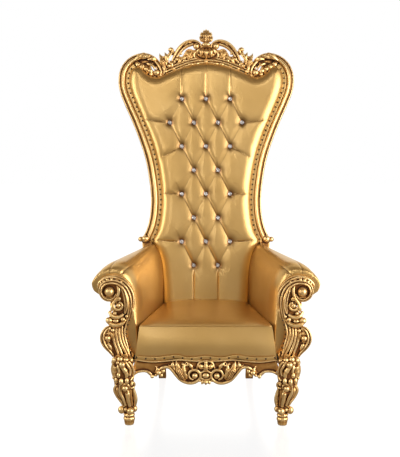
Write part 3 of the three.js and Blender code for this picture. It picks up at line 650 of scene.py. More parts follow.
finishPiece(crestPiece, carvedGold, "gilding", "crest")

# Arm facings, drawn on the plane of their ground
facing = {
    "boards": [([(325, 304), (343, 348), (357, 403), (356, 443), (339, 475), (323, 513), (319, 558), (325, 610),
                 (347, 651), (393, 676), (437, 671), (464, 648), (467, 608), (449, 580), (417, 573), (401, 555),
                 (415, 515), (435, 479), (429, 449), (443, 429), (455, 385), (447, 345), (411, 304)], -30, 1, 3)],
    "beads": [
        [(341, 312, 4, 4), (352, 363, 4, 4.5), (362, 407, 4, 4.5), (358, 443, 4, 4.5), (348, 478, 4, 4.5),
         (333, 509, 4, 4.5), (324, 545, 4, 5), (322, 580, 4, 5), (328, 607, 4, 5), (340, 627, 4, 5),
         (358, 647, 4, 5), (380, 660, 4, 5.5), (408, 669, 4, 6), (435, 669, 4, 6), (460, 657, 4, 6),
         (477, 638, 2, 5), (479, 618, 0, 4)],
        [(410, 446, 2, 5), (412, 407, 5, 6), (408, 372, 6, 6), (396, 336, 6, 6), (388, 306, 4, 5)],
        [(398, 446, 4, 5), (399, 407, 7, 6), (392, 367, 8, 6), (379, 332, 8, 6), (371, 306, 6, 5)],
        [(386, 446, 4, 5), (386, 407, 7, 6), (377, 367, 8, 6), (362, 336, 8, 6), (350, 308, 6, 5)],
        [(373, 448, 2, 5), (374, 407, 5, 5.5), (366, 372, 6, 5.5), (353, 340, 6, 5.5), (340, 312, 4, 5)],
        [(432, 516, 2, 6), (416, 497, 9, 10), (390, 491, 11, 10), (366, 503, 6, 6)],
        [(441, 486, 2, 7), (425, 462, 9, 11), (399, 454, 11, 11), (376, 460, 9, 10), (357, 478, 4, 6)],
        [(394, 644, 6, 6), (386, 618, 10, 8), (390, 590, 10, 7), (399, 572, 8, 5)],
    ],
    "rolls": [
        [(350, 480, 4, 5), (340, 520, 8, 9), (338, 560, 10, 11), (346, 598, 11, 12), (364, 628, 11, 12),
         (392, 647, 11, 11), (424, 650, 11, 10), (452, 640, 10, 9), (466, 618, 9, 9), (464, 592, 9, 8),
         (447, 573, 9, 8), (424, 568, 9, 7), (405, 578, 9, 6), (397, 596, 8, 4)],
        [(376, 640, 12, 5), (363, 610, 15, 9), (354, 575, 15, 10), (352, 540, 13, 9), (360, 508, 8, 5)],
        [(424, 448, 4, 5), (444, 437, 6, 9), (458, 414, 8, 11), (461, 390, 8, 12), (454, 366, 8, 11),
         (441, 346, 7, 9), (424, 326, 6, 7), (414, 308, 4, 5)],
    ],
    "scrolls": [
        {"stem": [(404, 566, 8), (396, 574, 9), (382, 574, 10)], "eye": (388, 544, 9), "radii": (27, 13),
         "turns": (0.22, -0.72), "widths": (7, 5.5), "ball": 10.5},
        {"stem": [(428, 440, 6), (436, 424, 7)], "eye": (438, 395, 9), "radii": (22, 14), "turns": (0.3, -0.35),
         "widths": (6, 5), "ball": 14},
    ],
    "balls": [
        (427, 607, 11, 21.5), (369, 481, 9, 10), (431, 474, 6, 16, (1, 0.9, 0.8)), (401, 474, 11, 10, (1.3, 0.7, 0.8)),
        (449, 652, 10, 7, (1.3, 0.8, 0.8)), (434, 660, 10, 7, (1.3, 0.8, 0.8)), (463, 645, 8, 6), (417, 662, 10, 6),
        (395, 658, 10, 6, (1.4, 0.8, 0.8)), (375, 650, 10, 6), (404, 508, 8, 8), (352, 494, 8, 7),
        (415, 430, 6, 9), (430, 352, 6, 8),
    ],
    "leaves": [
        ([(420, 560, 0), (414, 536, 12), (424, 512, 4)], 12, 2),
        ([(440, 430, 2), (420, 410, 10), (418, 380, 4)], 8, 2),
        ([(444, 372, 4), (428, 356, 12), (420, 332, 4)], 9, 2),
        ([(332, 486, 2), (326, 520, 8), (328, 556, 2)], 6, 3),
    ],
}
facingBase = -335.4  # y of the ground's face
carvePair("arm_facing_carved", "arm_facing", facing, standingPlane(facingBase), voxel=1.9)

# Front legs: a round core with carving that lies on its surface
leg = {
    "core": [(345, 40, 0, 19), (345, 66, 0, 20), (349, 97, 0, 27), (356, 127, 1, 33), (361, 164, 4, 39),
             (363, 212, 6, 41), (366, 261, 6, 41), (366, 300, 4, 43)],
    "foot": [(345, 0, 0, 21), (345, 3, 0, 22), (345, 18, 0, 24), (345, 24, 0, 26.5), (345, 30, 0, 27),
             (345, 35, 0, 25), (345, 38, 0, 22), (345, 41, 0, 25), (345, 47, 0, 27), (345, 52, 0, 24),
             (345, 56, 0, 20)],
    "frontY": -352,
}


def onLeg(across, up, lift):
    heights = [station[1] for station in leg["core"]]
    middle, out, radius = (np.interp(up, heights, [station[k] for station in leg["core"]]) for k in (0, 2, 3))
    inside = max(radius ** 2 - (across - middle) ** 2, (0.3 * radius) ** 2)
    return float(out + math.sqrt(inside) + lift)


def legBead(points):
    return [(across, up, onLeg(across, up, lift), size) for across, up, lift, size in points]


legDrawing = {
    "beads": [leg["core"], leg["foot"]] + [legBead(points) for points in [
        [(398, 280, 0, 13), (402, 254, 0, 17), (397, 228, 0, 12)],
        [(374, 284, 2, 8), (360, 268, 3, 10), (350, 244, 2, 9), (352, 230, 0, 6)],
        [(344, 302, 0, 6), (331, 283, 2, 7), (322, 256, 4, 7), (325, 230, 3, 6), (334, 214, 2, 5)],
        [(354, 300, -2, 5), (342, 280, 2, 6), (334, 256, 3, 6), (338, 236, 2, 5)],
        [(396, 192, 0, 7), (404, 166, 2, 11), (394, 138, 2, 11), (376, 112, 2, 9), (364, 88, 1, 7)],
        [(378, 196, 2, 6), (380, 162, 2, 8), (367, 128, 2, 7), (358, 96, 1, 6)],
        [(350, 158, 2, 8), (345, 124, 2, 9), (340, 92, 1, 7)],
        [(333, 206, 2, 5), (320, 196, 4, 7), (322, 180, 4, 6), (333, 178, 3, 4)],
        [(325, 176, 1, 6), (319, 152, 2, 8), (314, 118, 3, 9), (318, 90, 1, 7)],
        [(374, 172, 3, 4), (362, 200, 4, 5), (344, 196, 4, 5), (340, 178, 3, 4)],
    ]],
    "balls": [(across, up, onLeg(across, up, lift), *rest) for across, up, lift, *rest in [
        (408, 292, 0, 13), (369, 290, 2, 14), (389, 296, 0, 8), (356, 262, 3, 11), (397, 213, 1, 12, (0.8, 1.3, 0.8)),
        (374, 211, 2, 13, (0.8, 1.3, 0.8)), (349, 214, 2, 12, (0.8, 1.3, 0.8)), (410, 222, 1, 8), (357, 182, 4, 14),
        (378, 70, 4, 16.5, (1, 1.12, 1)), (337, 70, 6, 17), (358, 76, 4, 9), (386, 240, 2, 9, (1, 1.4, 1)),
        (330, 196, 2, 8),
    ]] + [(322, 74, 6, 15, (1, 1.1, 1)), (345, 72, -18, 17), (404, 303, 20, 14), (380, 308, 30, 14, (1, 1.1, 1)),
          (354, 306, 30, 13), (333, 302, 20, 11), (392, 306, 8, 16), (362, 308, 10, 18), (338, 302, 4, 13)],
    "leaves": [(
        [(across, up, onLeg(across, up, lift)) for across, up, lift in rib], width, lobes)
        for rib, width, lobes in [
            ([(386, 292, -2), (384, 266, 3), (382, 236, 0)], 9, 2),
            ([(348, 170, 0), (346, 130, 4), (342, 92, 0)], 13, 2),
            ([(392, 186, -2), (388, 156, 4), (372, 118, 0)], 10, 2),
            ([(330, 250, -1), (324, 228, 4), (330, 204, 0)], 9, 2),
        ]],
    "rolls": [[(402, 290, -14, 12), (412, 250, -20, 16), (402, 200, -20, 14), (396, 160, -18, 12), (372, 110, -12, 9)]],
}
carvePair("front_leg_carved", "front_leg", legDrawing, standingPlane(leg["frontY"]), voxel=1.9)

# Front rail: a serpentine apron with a cabochon between two volutes
apron = {
    "boards": [([(-2, 300), (60, 300), (120, 300), (180, 300), (240, 300), (300, 300), (316, 290), (316, 246),
                 (290, 245), (268, 242), (254, 230), (240, 222), (226, 232), (208, 238), (194, 252), (176, 262),
                 (158, 258), (140, 238), (120, 214), (96, 202), (70, 200), (40, 206), (20, 204), (-2, 200)],
                -34, 0, 2)],
    "beads": [
        [(322, 232, 0, 5), (304, 245, 3, 6), (288, 249, 4, 6), (270, 249, 4, 6), (255, 244, 4, 6),
         (245, 235, 4, 6), (239, 227, 4, 6)],
        [(318, 301, 2, 3), (240, 292, 3, 3.5), (176, 296, 3, 3.5), (140, 300, 3, 3.5), (112, 301, 3, 3.5),
         (88, 299, 3, 3.5), (40, 296, 3, 3.5), (-4, 298, 3, 3.5)],
        [(212, 250, 2, 6), (195, 264, 4, 7), (177, 269, 5, 7), (160, 264, 5, 7), (147, 250, 5, 7),
         (131, 229, 5, 7), (113, 210, 5, 7), (90, 198, 5, 7), (67, 195, 6, 7), (46, 200, 6, 7), (30, 213, 6, 6),
         (24, 231, 6, 6), (32, 248, 6, 6), (50, 256, 6, 6), (68, 250, 6, 5.5), (76, 234, 6, 5),
         (70, 218, 6, 4.5), (56, 211, 6, 4)],
        [(168, 276, 2, 4), (150, 270, 5, 5), (136, 254, 6, 5), (118, 230, 6, 5), (98, 214, 6, 5)],
        [(34, 284, 3, 4), (28, 270, 6, 5), (14, 266, 6, 4.5), (12, 276, 6, 4)],
        [(40, 262, 2, 3), (30, 286, 4, 4), (12, 296, 5, 4), (-4, 297, 5, 4)],
    ],
    "balls": [
        (49, 230, 8, 13), (239, 226, 6, 9), (210, 243, 6, 11.5), (222, 231, 4, 7), (199, 231, 4, 9),
        (190, 250, 4, 7), (22, 273, 6, 9.5), (14, 202, 5, 7), (28, 206, 5, 6), (104, 282, 4, 5), (84, 276, 4, 5),
    ],
    "leaves": [
        ([(96, 208, 4), (112, 240, 12), (124, 268, 10), (132, 294, 4)], 17, 3),
        ([(86, 214, 4), (94, 240, 11), (98, 266, 8), (92, 286, 3)], 11, 3),
        ([(136, 262, 2), (148, 278, 8), (146, 294, 3)], 8, 1),
        ([(226, 240, 2), (214, 256, 8), (222, 270, 3)], 9, 1),
        ([(60, 262, 3), (70, 278, 8), (86, 290, 3)], 9, 2),
        ([(202, 238, 2), (190, 250, 8), (184, 262, 3)], 8, 1),
        ([(8, 208, 4), (16, 196, 8), (22, 188, 3)], 7, 1),
    ],
    "middle": {
        "balls": [(0, 231, 8, 15, (1, 0.85, 0.7)), (0, 231, 0, 24, (1, 0.8, 0.3)), (0, 288, 5, 8, (1, 1, 0.8))],
        "leaves": [
            ([(0, 250, 4), (0, 270, 10), (0, 296, 4)], 11, 2),
            ([(0, 212, 4), (0, 200, 10), (0, 183, 3)], 10, 1),
        ],
        "beads": [[(25 * math.cos(0.5 * i), 231 + 20.5 * math.sin(0.5 * i), 7, 4) for i in range(14)]],
    },
}
apronPiece = carve("apron_carved", apron, standingPlane(chair["seatFront"]), voxel=1.9)
finishPiece(apronPiece, carvedGold, "gilding", "front_rail")
print("carving done")


# Upholstery

# A sheet of fine squares whose points are placed by a function of two shares.
def addSheet(name, columns, rows, placePoints):
    bpy.ops.mesh.primitive_grid_add(x_subdivisions=columns, y_subdivisions=rows, size=2, location=(0, 0, 0))
    piece = bpy.context.object
    piece.name = piece.data.name = name
    shares = (vertexArray(piece.data)[:, :2] + 1) / 2
    placed = placePoints(shares[:, 0], shares[:, 1])
    piece.data.vertices.foreach_set("co", (np.column_stack(placed[:3]) * mm).ravel())
    if len(placed) > 3:  # painted shade of the folds, pleats and button cups
        layer = piece.data.attributes.new("shade", "FLOAT", "POINT")
        layer.data.foreach_set("value", np.clip(placed[3], 0, 1).astype(np.float32))
    piece.data.update()
    return piece


# The open side of a sheet is closed by a flat back at a depth of its drawing plane.
def closeBack(piece, depth):
    makeActive(piece)
    bpy.ops.object.mode_set(mode="EDIT")
    bpy.ops.mesh.select_mode(type="EDGE")
    bpy.ops.mesh.select_all(action="DESELECT")
    bpy.ops.mesh.select_non_manifold()
    bpy.ops.mesh.extrude_edges_move()
    bpy.ops.transform.resize(value=(1, 1, 0), center_override=(0, 0, depth * mm))
    bpy.ops.mesh.edge_face_add()
    bpy.ops.mesh.select_all(action="SELECT")
    bpy.ops.mesh.select_mode(type="VERT")
    leaveEdit()


tufting = {
    "across": 61, "rise": 120.2, "topRow": 1029,
    "rows": [(-2, 0, 2), (-3, -1, 1, 3), (-2, 0, 2), (-1, 1), (-2, 0, 2), (-1, 1), (-2, 0, 2), (-1, 1)],
    "crown": 44, "rim": 10, "rounding": 62, "edgeFade": 40,
    "foldDepth": 13, "foldWidths": (12.0, 30.0),  # on its upper and its lower side
    "softDepth": 8, "softWidth": 24.0,
    "pleatDepth": 6, "pleatWidth": 18.0, "grooveDepth": 3, "grooveWidth": 2.6,
    "buttonPit": 17, "pitWidth": 18, "pitReach": 60,
    "lineWidth": 2.2, "cupRadius": 12, "cupShade": 15, "shadeFade": 12,  # the painted shade of the folds and cups
    "bottom": -140, "back": -33,
}
# Half width of the padded field at a height on the back, and its top edge at a share of that width
fieldSides = [(-140, 212), (0, 215), (110, 220), (205, 229), (262, 247), (292, 262), (318, 267), (372, 244),
              (438, 231), (535, 225), (632, 235), (730, 253), (828, 283), (925, 322), (1023, 365), (1088, 387),
              (1134, 391), (1173, 384), (1200, 372)]
fieldTop = [(0, 1214), (0.14, 1210), (0.27, 1198), (0.41, 1179), (0.52, 1160), (0.6, 1146), (0.66, 1143),
            (0.73, 1150), (0.8, 1168), (0.87, 1192), (0.94, 1196), (1, 1178)]


def buttonPlaces():
    return [(column * tufting["across"], tufting["topRow"] - row * tufting["rise"])
            for row, columns in enumerate(tufting["rows"]) for column in columns]


# Creases between buttons: two ends, and whether the leather is folded over there
def creaseLines():
    rows, across, rise, top = (tufting[key] for key in ("rows", "across", "rise", "topRow"))
    lines = []
    for row, columns in enumerate(rows[:-1]):
        for column in columns:
            for step in (-1, 1):
                if column + step in rows[row + 1]:
                    start = (column * across, top - row * rise)
                    end = ((column + step) * across, top - (row + 1) * rise)
                    lines.append((start, end, step == 1))
    return lines


# Pleats from the outer buttons to the frame and to the seat: two ends
def pleatLines():
    across, rise, top = (tufting[key] for key in ("across", "rise", "topRow"))
    lines = [((column * across, top), (column * across * 1.02, 1230)) for column in (-2, 0, 2)]
    lines += [((column * across, top - 7 * rise), (column * across * 1.02, -40)) for column in (-1, 1)]
    for side in (-1, 1):
        lines += [((side * 3 * across, top - rise), (side * 340, top - rise + 16)),
                  ((side * 2 * across, top - 2 * rise), (side * 215, top - 2 * rise - 52)),
                  ((side * 2 * across, top - 4 * rise), (side * 240, top - 4 * rise)),
                  ((side * 2 * across, top - 6 * rise), (side * 262, top - 6 * rise + 6))]
    return lines


def distanceTo(x, y, start, end):
    along = np.array(end, float) - start
    t = np.clip(((x - start[0]) * along[0] + (y - start[1]) * along[1]) / (along @ along), 0, 1)
    dx, dy = x - (start[0] + t * along[0]), y - (start[1] + t * along[1])
    side = np.sign(along[0] * dy - along[1] * dx)
    return np.hypot(dx, dy), side, t


def padHeight(x, y, edgeDistance):
    swell = np.clip(edgeDistance / tufting["rounding"], 0, 1)
    height = tufting["rim"] + (tufting["crown"] - tufting["rim"]) * np.sqrt(1 - (1 - swell) ** 2)
    sunk = np.zeros_like(x)
    for start, end, folded in creaseLines():
        distance, side, t = distanceTo(x, y, start, end)
        waist = 0.72 + 0.28 * (2 * t - 1) ** 2
        if folded:
            width = np.where(side > 0, *tufting["foldWidths"])
            dip = tufting["foldDepth"] * waist * np.exp(-(distance / width) ** 1.1)
        else:
            dip = tufting["softDepth"] * waist * np.exp(-(distance / tufting["softWidth"]) ** 1.5)
        sunk = np.maximum(sunk, dip)
    for start, end in pleatLines():
        distance, _, t = distanceTo(x, y, start, end)
        fade = 1 - 0.45 * t
        dip = tufting["pleatDepth"] * fade * np.exp(-(distance / tufting["pleatWidth"]) ** 1.2)
        dip += tufting["grooveDepth"] * fade * np.exp(-(distance / tufting["grooveWidth"]) ** 2)
        sunk = np.maximum(sunk, dip)
    for across, up in buttonPlaces():
        distance = np.hypot(x - across, y - up)
        pit = tufting["buttonPit"] * np.exp(-distance / tufting["pitWidth"])
        sunk = np.where(distance < tufting["pitReach"], np.sqrt(sunk ** 2 + pit ** 2), sunk)
    return height - sunk * np.clip(edgeDistance / tufting["edgeFade"], 0, 1)


# Painted shade: folds, pleats and the leather round the buttons are darker.
def padShade(x, y, edgeDistance):
    shade = np.zeros_like(x)
    for start, end, folded in creaseLines():
        distance, _, _ = distanceTo(x, y, start, end)
        line = 0.85 if folded else 0.25
        shade = np.maximum(shade, line * np.exp(-(distance / tufting["lineWidth"]) ** 2))
    for start, end in pleatLines():
        distance, _, t = distanceTo(x, y, start, end)
        shade = np.maximum(shade, 0.8 * (1 - 0.4 * t) * np.exp(-(distance / tufting["lineWidth"]) ** 2))
    for across, up in buttonPlaces():
        past = np.maximum(np.hypot(x - across, y - up) - tufting["cupRadius"], 0)
        shade = np.maximum(shade, 0.9 * np.exp(-(past / tufting["cupShade"]) ** 1.2))
    return shade * np.clip(edgeDistance / tufting["shadeFade"], 0, 1)


def fieldHalf(up):
    sides = smoothLine(fieldSides, 200)
    return np.interp(up, sides[:, 0], sides[:, 1])


def fieldPoint(across, rise):
    share = 2 * across - 1
    tops = smoothLine(fieldTop, 120)
    top = np.interp(np.abs(share), tops[:, 0], tops[:, 1])
    up = tufting["bottom"] + rise * (top - tufting["bottom"])
    x = share * fieldHalf(up)
    edge = np.minimum((1 - np.abs(share)) * fieldHalf(up), top - up)
    return x, up, edge


def placeField(across, rise):
    x, up, edge = fieldPoint(across, rise)
    return x, up, padHeight(x, up, edge), padShade(x, up, edge)


backCushion = addSheet("back_cushion", 200, 340, placeField)
closeBack(backCushion, tufting["back"])
standUp(backCushion, leaningPlane())
smoothShade(backCushion, 50)
finishPiece(backCushion, goldVinyl, "leather", "back_pad")
print("back cushion", len(backCushion.data.polygons), "faces")

# Crystal buttons: a faceted stone in a foil cup
button = {"radius": 12, "height": 8, "sides": 10, "facet": 1.6, "seat": 5, "rim": 1.2, "lift": 11}


def addStone(name, across, up, out):
    bpy.ops.mesh.primitive_cone_add(
        vertices=button["sides"], radius1=button["radius"] * mm, radius2=button["radius"] * 0.5 * mm,
        depth=button["height"] * mm, location=(across * mm, up * mm, out * mm))
    stone = bpy.context.object
    editWhole(stone)
    bpy.ops.mesh.bevel(offset=button["facet"] * mm, segments=1)
    bpy.ops.object.mode_set(mode="OBJECT")
    stone.data.materials.append(crystalGlass)
    bpy.ops.mesh.primitive_cylinder_add(
        vertices=20, radius=(button["radius"] + button["rim"]) * mm, depth=button["seat"] * mm,
        location=(across * mm, up * mm, (out - button["height"] / 2 - button["seat"] / 2 + 0.2) * mm))
    cup = bpy.context.object
    cup.data.materials.append(silverFoil)
    applyModifier(cup, "BEVEL", width=0.8 * mm, segments=2)
    stone = joinPieces([stone, cup], name)
    settle()
    standUp(stone, leaningPlane())
    return stone


for row, columns in enumerate(tufting["rows"]):
    for i, column in enumerate(columns):
        across, up = column * tufting["across"], tufting["topRow"] - row * tufting["rise"]
        edge = fieldHalf(up) - abs(across)
        level = float(padHeight(np.array([across]), np.array([up]), np.array([edge]))[0])
        stone = addStone(f"crystal_{row + 1}_{i + 1}", across, up, level + button["lift"])
        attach(stone, "root")
        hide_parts(f"button_{row + 1}_{i + 1}")
print("crystals set")

# Nails: small domes at even steps along a line of points on a drawing plane. Their height is a share of the radius.
nails = {"radius": 4.6, "height": 0.6}


def addNails(name, line, spacing, plane):
    steps = np.linalg.norm(np.diff(line, axis=0), axis=1)
    along = np.concatenate([[0], np.cumsum(steps)])
    count = max(2, int(round(along[-1] / spacing)) + 1)
    pieces = []
    for at in np.linspace(0, along[-1], count):
        place = [np.interp(at, along, line[:, k]) for k in range(3)]
        bpy.ops.mesh.primitive_uv_sphere_add(segments=12, ring_count=6, radius=nails["radius"] * mm,
                                             location=[value * mm for value in place])
        bpy.context.object.scale = (1, 1, nails["height"])
        pieces.append(bpy.context.object)
    row = joinPieces(pieces, name)
    settle()
    standUp(row, plane)
    smoothShade(row)
    finishPiece(row, nailMetal, "gilding")


# Gimp: a narrow band of the same leather that covers the edge of the upholstery. Its ends taper to a point.
def addGimp(name, line, width, thick, plane):
    line = np.array(line)
    forward = np.gradient(line, axis=0)
    forward /= np.linalg.norm(forward, axis=1)[:, None]
    side = np.cross(forward, (0, 0, 1))

    def place(along, around):
        at = along * (len(line) - 1)
        index = np.arange(len(line))
        middle = np.column_stack([np.interp(at, index, line[:, k]) for k in range(3)])
        across = np.column_stack([np.interp(at, index, side[:, k]) for k in range(3)])
        turn = 2 * math.pi * around
        taper = np.clip(np.minimum(along, 1 - along) * len(line) * 2, 0, 1)
        sideways = np.sign(np.cos(turn)) * np.abs(np.cos(turn)) ** 0.6 * width / 2 * taper
        out = np.sin(turn) * thick * taper
        return tuple((middle + across * sideways[:, None] + out[:, None] * np.array([0, 0, 1])).T)

    band = addSheet(name, 6 * len(line), 16, place)
    mergeDoubles(band, 0.05 * mm)
    standUp(band, plane)
    smoothShade(band)
    finishPiece(band, goldVinyl, "leather")


# The gimp of the back lies in the channel of each stile.
backGimp = {"inset": 23, "out": 9.5, "width": 27, "thick": 2.5, "nailOut": 12.7, "nailStep": 26}
stileLine = smoothLine([point[:2] for point in stile["mouldings"][0][:15]], 120)
tangent = np.gradient(stileLine, axis=0)
tangent /= np.linalg.norm(tangent, axis=1)[:, None]
inward = np.column_stack([-tangent[:, 1], tangent[:, 0]])
for side, word in ((1, "right"), (-1, "left")):
    middle = stileLine + inward * backGimp["inset"]
    gimpLine = np.column_stack([side * middle[:, 0], middle[:, 1], np.full(len(middle), backGimp["out"])])
    addGimp("back_gimp_" + word, gimpLine[::4], backGimp["width"], backGimp["thick"], leaningPlane())
    gimpLine[:, 2] = backGimp["nailOut"]
    addNails("back_nails_" + word, gimpLine[3:-4], backGimp["nailStep"], leaningPlane())

# Arms: a rolled section that runs back beside the seat, rounded at its front
arm = {
    "frontY": -305, "rounding": 36, "roundingDepth": 80, "gap": 0.4, "reach": (222, 128), "height": (722, 742),
    "section": [(0, 0), (0, 0.18), (0, 0.345), (0.01, 0.56), (0.06, 0.74), (0.18, 0.89), (0.37, 0.985), (0.6, 1),
                (0.8, 0.955), (0.95, 0.87), (1, 0.79), (0.95, 0.715), (0.8, 0.67), (0.62, 0.64), (0.53, 0.55),
                (0.5, 0.3), (0.44, 0.1), (0.38, 0), (0.2, 0)],
    "pleats": [0.29, 0.37, 0.44],  # shares of the way round the section
    "pleatDepth": 3.5, "pleatReach": 50,
    "capEnd": 0.1, "roundEnd": 0.3, "rearStart": 0.98,  # shares of the sheet's rows from front to back
}


def seatSideAt(y, z):
    half = np.interp(y, (-334, 120), (304, 218)) + np.where(y > 120, (120 - y) * 0.19, 0)
    return half + np.maximum(0, chair["seatHeight"] - z) * 0.1


def backPlaneY(z, out):
    return chair["backRoot"][0] + (z - chair["backRoot"][1]) * math.tan(chair["lean"]) - out / math.cos(chair["lean"])


armOutline = smoothLine(arm["section"], 400, closed=True)
armSize = (arm["reach"][0], arm["height"][0] - chair["frameTop"])
armTurn = np.roll(armOutline * armSize, -1, axis=0) - np.roll(armOutline * armSize, 1, axis=0)
armInward = np.column_stack([armTurn[:, 1], -armTurn[:, 0]]) / np.linalg.norm(armTurn, axis=1)[:, None]


def placeArm(around, along):
    across, up, inX, inZ = (
        np.interp(around * 400, np.arange(401), np.append(values, values[0]))
        for values in (armOutline[:, 0], armOutline[:, 1], armInward[:, 0], armInward[:, 1]))
    up = np.clip(up, 0, 1.01)
    capEnd, roundEnd, rearStart = arm["capEnd"], arm["roundEnd"], arm["rearStart"]
    cap = along < capEnd
    capShare = np.clip(along / capEnd, 0, 1)
    turn = np.clip((along - capEnd) / (roundEnd - capEnd), 0, 1) * math.pi / 2
    run = np.clip((along - roundEnd) / (rearStart - roundEnd), 0, 1)
    rear = np.clip((along - rearStart) / (1 - rearStart), 0, 1)
    y = arm["frontY"] + arm["roundingDepth"] * (1 - np.cos(turn))
    z0 = chair["frameTop"] + arm["gap"]
    backHere = backPlaneY(z0 + up * 430, 5)
    y = y + run * (backHere - y)
    t = np.interp(y, (arm["frontY"], 120), (0, 1))
    reach = arm["reach"][0] + t * (arm["reach"][1] - arm["reach"][0])
    height = arm["height"][0] + t * (arm["height"][1] - arm["height"][0]) - chair["frameTop"]
    z = z0 + up * height
    heartX, heartZ = seatSideAt(y, z0) + reach * 0.27, z0 + height * 0.5
    x = seatSideAt(y, z) + across * reach
    # Painted shade: thin dark lines along the pleats at the front of the arm, kept in the shade attribute.
    shade = np.zeros_like(x)
    for place in arm["pleats"]:
        reachBack = np.exp(-((y - arm["frontY"] - 20) / arm["pleatReach"]) ** 2)
        dip = arm["pleatDepth"] * np.exp(-((around - place) / 0.006) ** 2) * reachBack
        dark = 0.8 * np.exp(-((around - place) / 0.0022) ** 2) * np.clip(1.5 * reachBack, 0, 1)
        shade = np.maximum(shade, dark)
        x, z = x + inX * dip, z + inZ * dip
    # The front is rounded most on the seat's side, and hardly at all low down, where it meets the facing.
    high = 0.05 + 0.95 * np.sin(np.clip((up - 0.05) / 0.55, 0, 1) * math.pi / 2) ** 2
    inset = arm["rounding"] * (1 - np.sin(turn)) * high
    x = x + np.where(inX > 0, inX, 0.3 * inX) * inset
    z = z + np.minimum(inZ, 0) * inset
    shrink = np.where(cap, np.sqrt(capShare), 1) * (1 - rear)
    x = heartX + (x - heartX) * shrink
    z = heartZ + (z - heartZ) * shrink
    x = np.maximum(x, seatSideAt(y, z) - 0.2)
    return x, y + shiftY, z, np.where(cap, 0, shade)


armRight = addSheet("arm_cushion_right", 300, 76, placeArm)
mergeDoubles(armRight, 0.02 * mm)
smoothShade(armRight)
armLeft = mirroredCopy(armRight, "arm_cushion_left")
for piece, word in ((armRight, "right"), (armLeft, "left")):
    finishPiece(piece, goldVinyl, "leather", "arm_pad_" + word)
print("arms", len(armRight.data.polygons), "faces")

# Seat: a boxed cushion with a crowned top and a sewn front edge
seat = {"crown": 17, "backRise": 9, "setback": 26, "gapAtFront": 9, "gapAtBack": 46, "bulge": 6, "clear": 0.6}


def placeSeat(cube):
    a, b, c = cube.T
    low, high = chair["frameTop"] + 0.4, chair["seatHeight"]
    rise = (c + 1) / 2
    dome = seat["crown"] * (np.clip(1 - a ** 4, 0, 1) * np.clip(1 - np.minimum(b, 0) ** 4, 0, 1)) ** 0.7
    z = low + rise * (high - low) + np.clip(c, 0, 1) ** 3 * (dome + seat["backRise"] * (b + 1) / 2 * (1 - a ** 4))
    frontY = chair["seatFront"] + seat["clear"] + seat["setback"] * rise ** 1.7
    frontY = frontY - seat["bulge"] * np.sin(math.pi * rise) * (1 - a ** 6) + seat["bulge"]
    backY = backPlaneY(z, seat["gapAtBack"])
    y = frontY + (b + 1) / 2 * (backY - frontY)
    x = a * (seatSideAt(y, z) - 1.2 - seat["gapAtFront"] * np.exp(-(y - chair["seatFront"]) / 60) * rise)
    return np.column_stack([x, y + shiftY, z])


bpy.ops.mesh.primitive_cube_add(size=2, location=(0, 0, 0))
seatCushion = bpy.context.object
seatCushion.name = seatCushion.data.name = "seat_cushion"
editWhole(seatCushion)
bpy.ops.mesh.subdivide(number_cuts=47)
bpy.ops.object.mode_set(mode="OBJECT")
seatPoints = placeSeat(vertexArray(seatCushion.data)) * mm
seatCushion.data.vertices.foreach_set("co", seatPoints.ravel())
seatCushion.data.update()
smoothShade(seatCushion, 35)
finishPiece(seatCushion, goldVinyl, "leather", "seat_pad")

# Piping along the seat's front edge
piping = {"radius": 2.2, "ends": 10, "rise": 0.5}
seamY = chair["seatFront"] + seat["clear"] + seat["setback"] + 2
seamHalf = float(seatSideAt(seamY, chair["seatHeight"])) - piping["ends"]
seam = addBars([[(x, chair["seatHeight"] + piping["rise"], -seamY + piping["rise"], piping["radius"])
                 for x in np.linspace(-seamHalf, seamHalf, 9)]], sides=2)
seam.name = seam.data.name = "seat_piping"
mergeDoubles(seam)
standUp(seam, standingPlane(0))
finishPiece(seam, goldVinyl, "leather")

# Front gimp and nails along the wavy top of the apron
wave = smoothLine([(308, 312), (296, 309), (253, 306), (210, 306), (169, 311), (128, 316), (87, 306), (44, 306),
                   (0, 312), (-44, 306), (-87, 306), (-128, 316), (-169, 311), (-210, 306), (-253, 306),
                   (-296, 309), (-308, 312)], 60)
frontGimp = {"out": 361.5, "width": 17, "thick": 2, "nailOut": 363.5, "nailStep": 42}
gimpLine = np.column_stack([wave, np.full(len(wave), frontGimp["out"])])
addGimp("front_gimp", gimpLine, frontGimp["width"], frontGimp["thick"], standingPlane(0))
gimpLine[:, 2] = frontGimp["nailOut"]
addNails("front_nails", gimpLine, frontGimp["nailStep"], standingPlane(0))

# Nails down the inner edge of each facing
facingNails = {"inset": 9, "out": 4.0, "step": 21}
edgeLine = smoothLine([(345, 330), (356, 370), (365, 407), (362, 440), (352, 476)], 30)
for side, word in ((1, "right"), (-1, "left")):
    points = np.column_stack([
        side * (edgeLine[:, 0] - facingNails["inset"]), edgeLine[:, 1], np.full(len(edgeLine), facingNails["out"])])
    addNails("facing_nails_" + word, points, facingNails["step"], standingPlane(facingBase))
print("upholstery done")

# Outside of the back: a lightly padded panel on its board, nailed along its sides
panel = {"front": -34.6, "board": 11, "puff": 7, "bottom": -141, "nailInset": 9, "nailOut": 4.5, "nailStep": 34}
panelSides = [(-142, 270), (100, 286), (314, 296), (421, 258), (534, 251), (647, 262), (758, 286), (866, 324),
              (971, 367), (1076, 409), (1130, 410), (1188, 402), (1232, 396)]
panelTop = [(0, 1229), (0.17, 1220), (0.34, 1195), (0.49, 1158), (0.57, 1139), (0.78, 1162), (0.98, 1185), (1, 1180)]


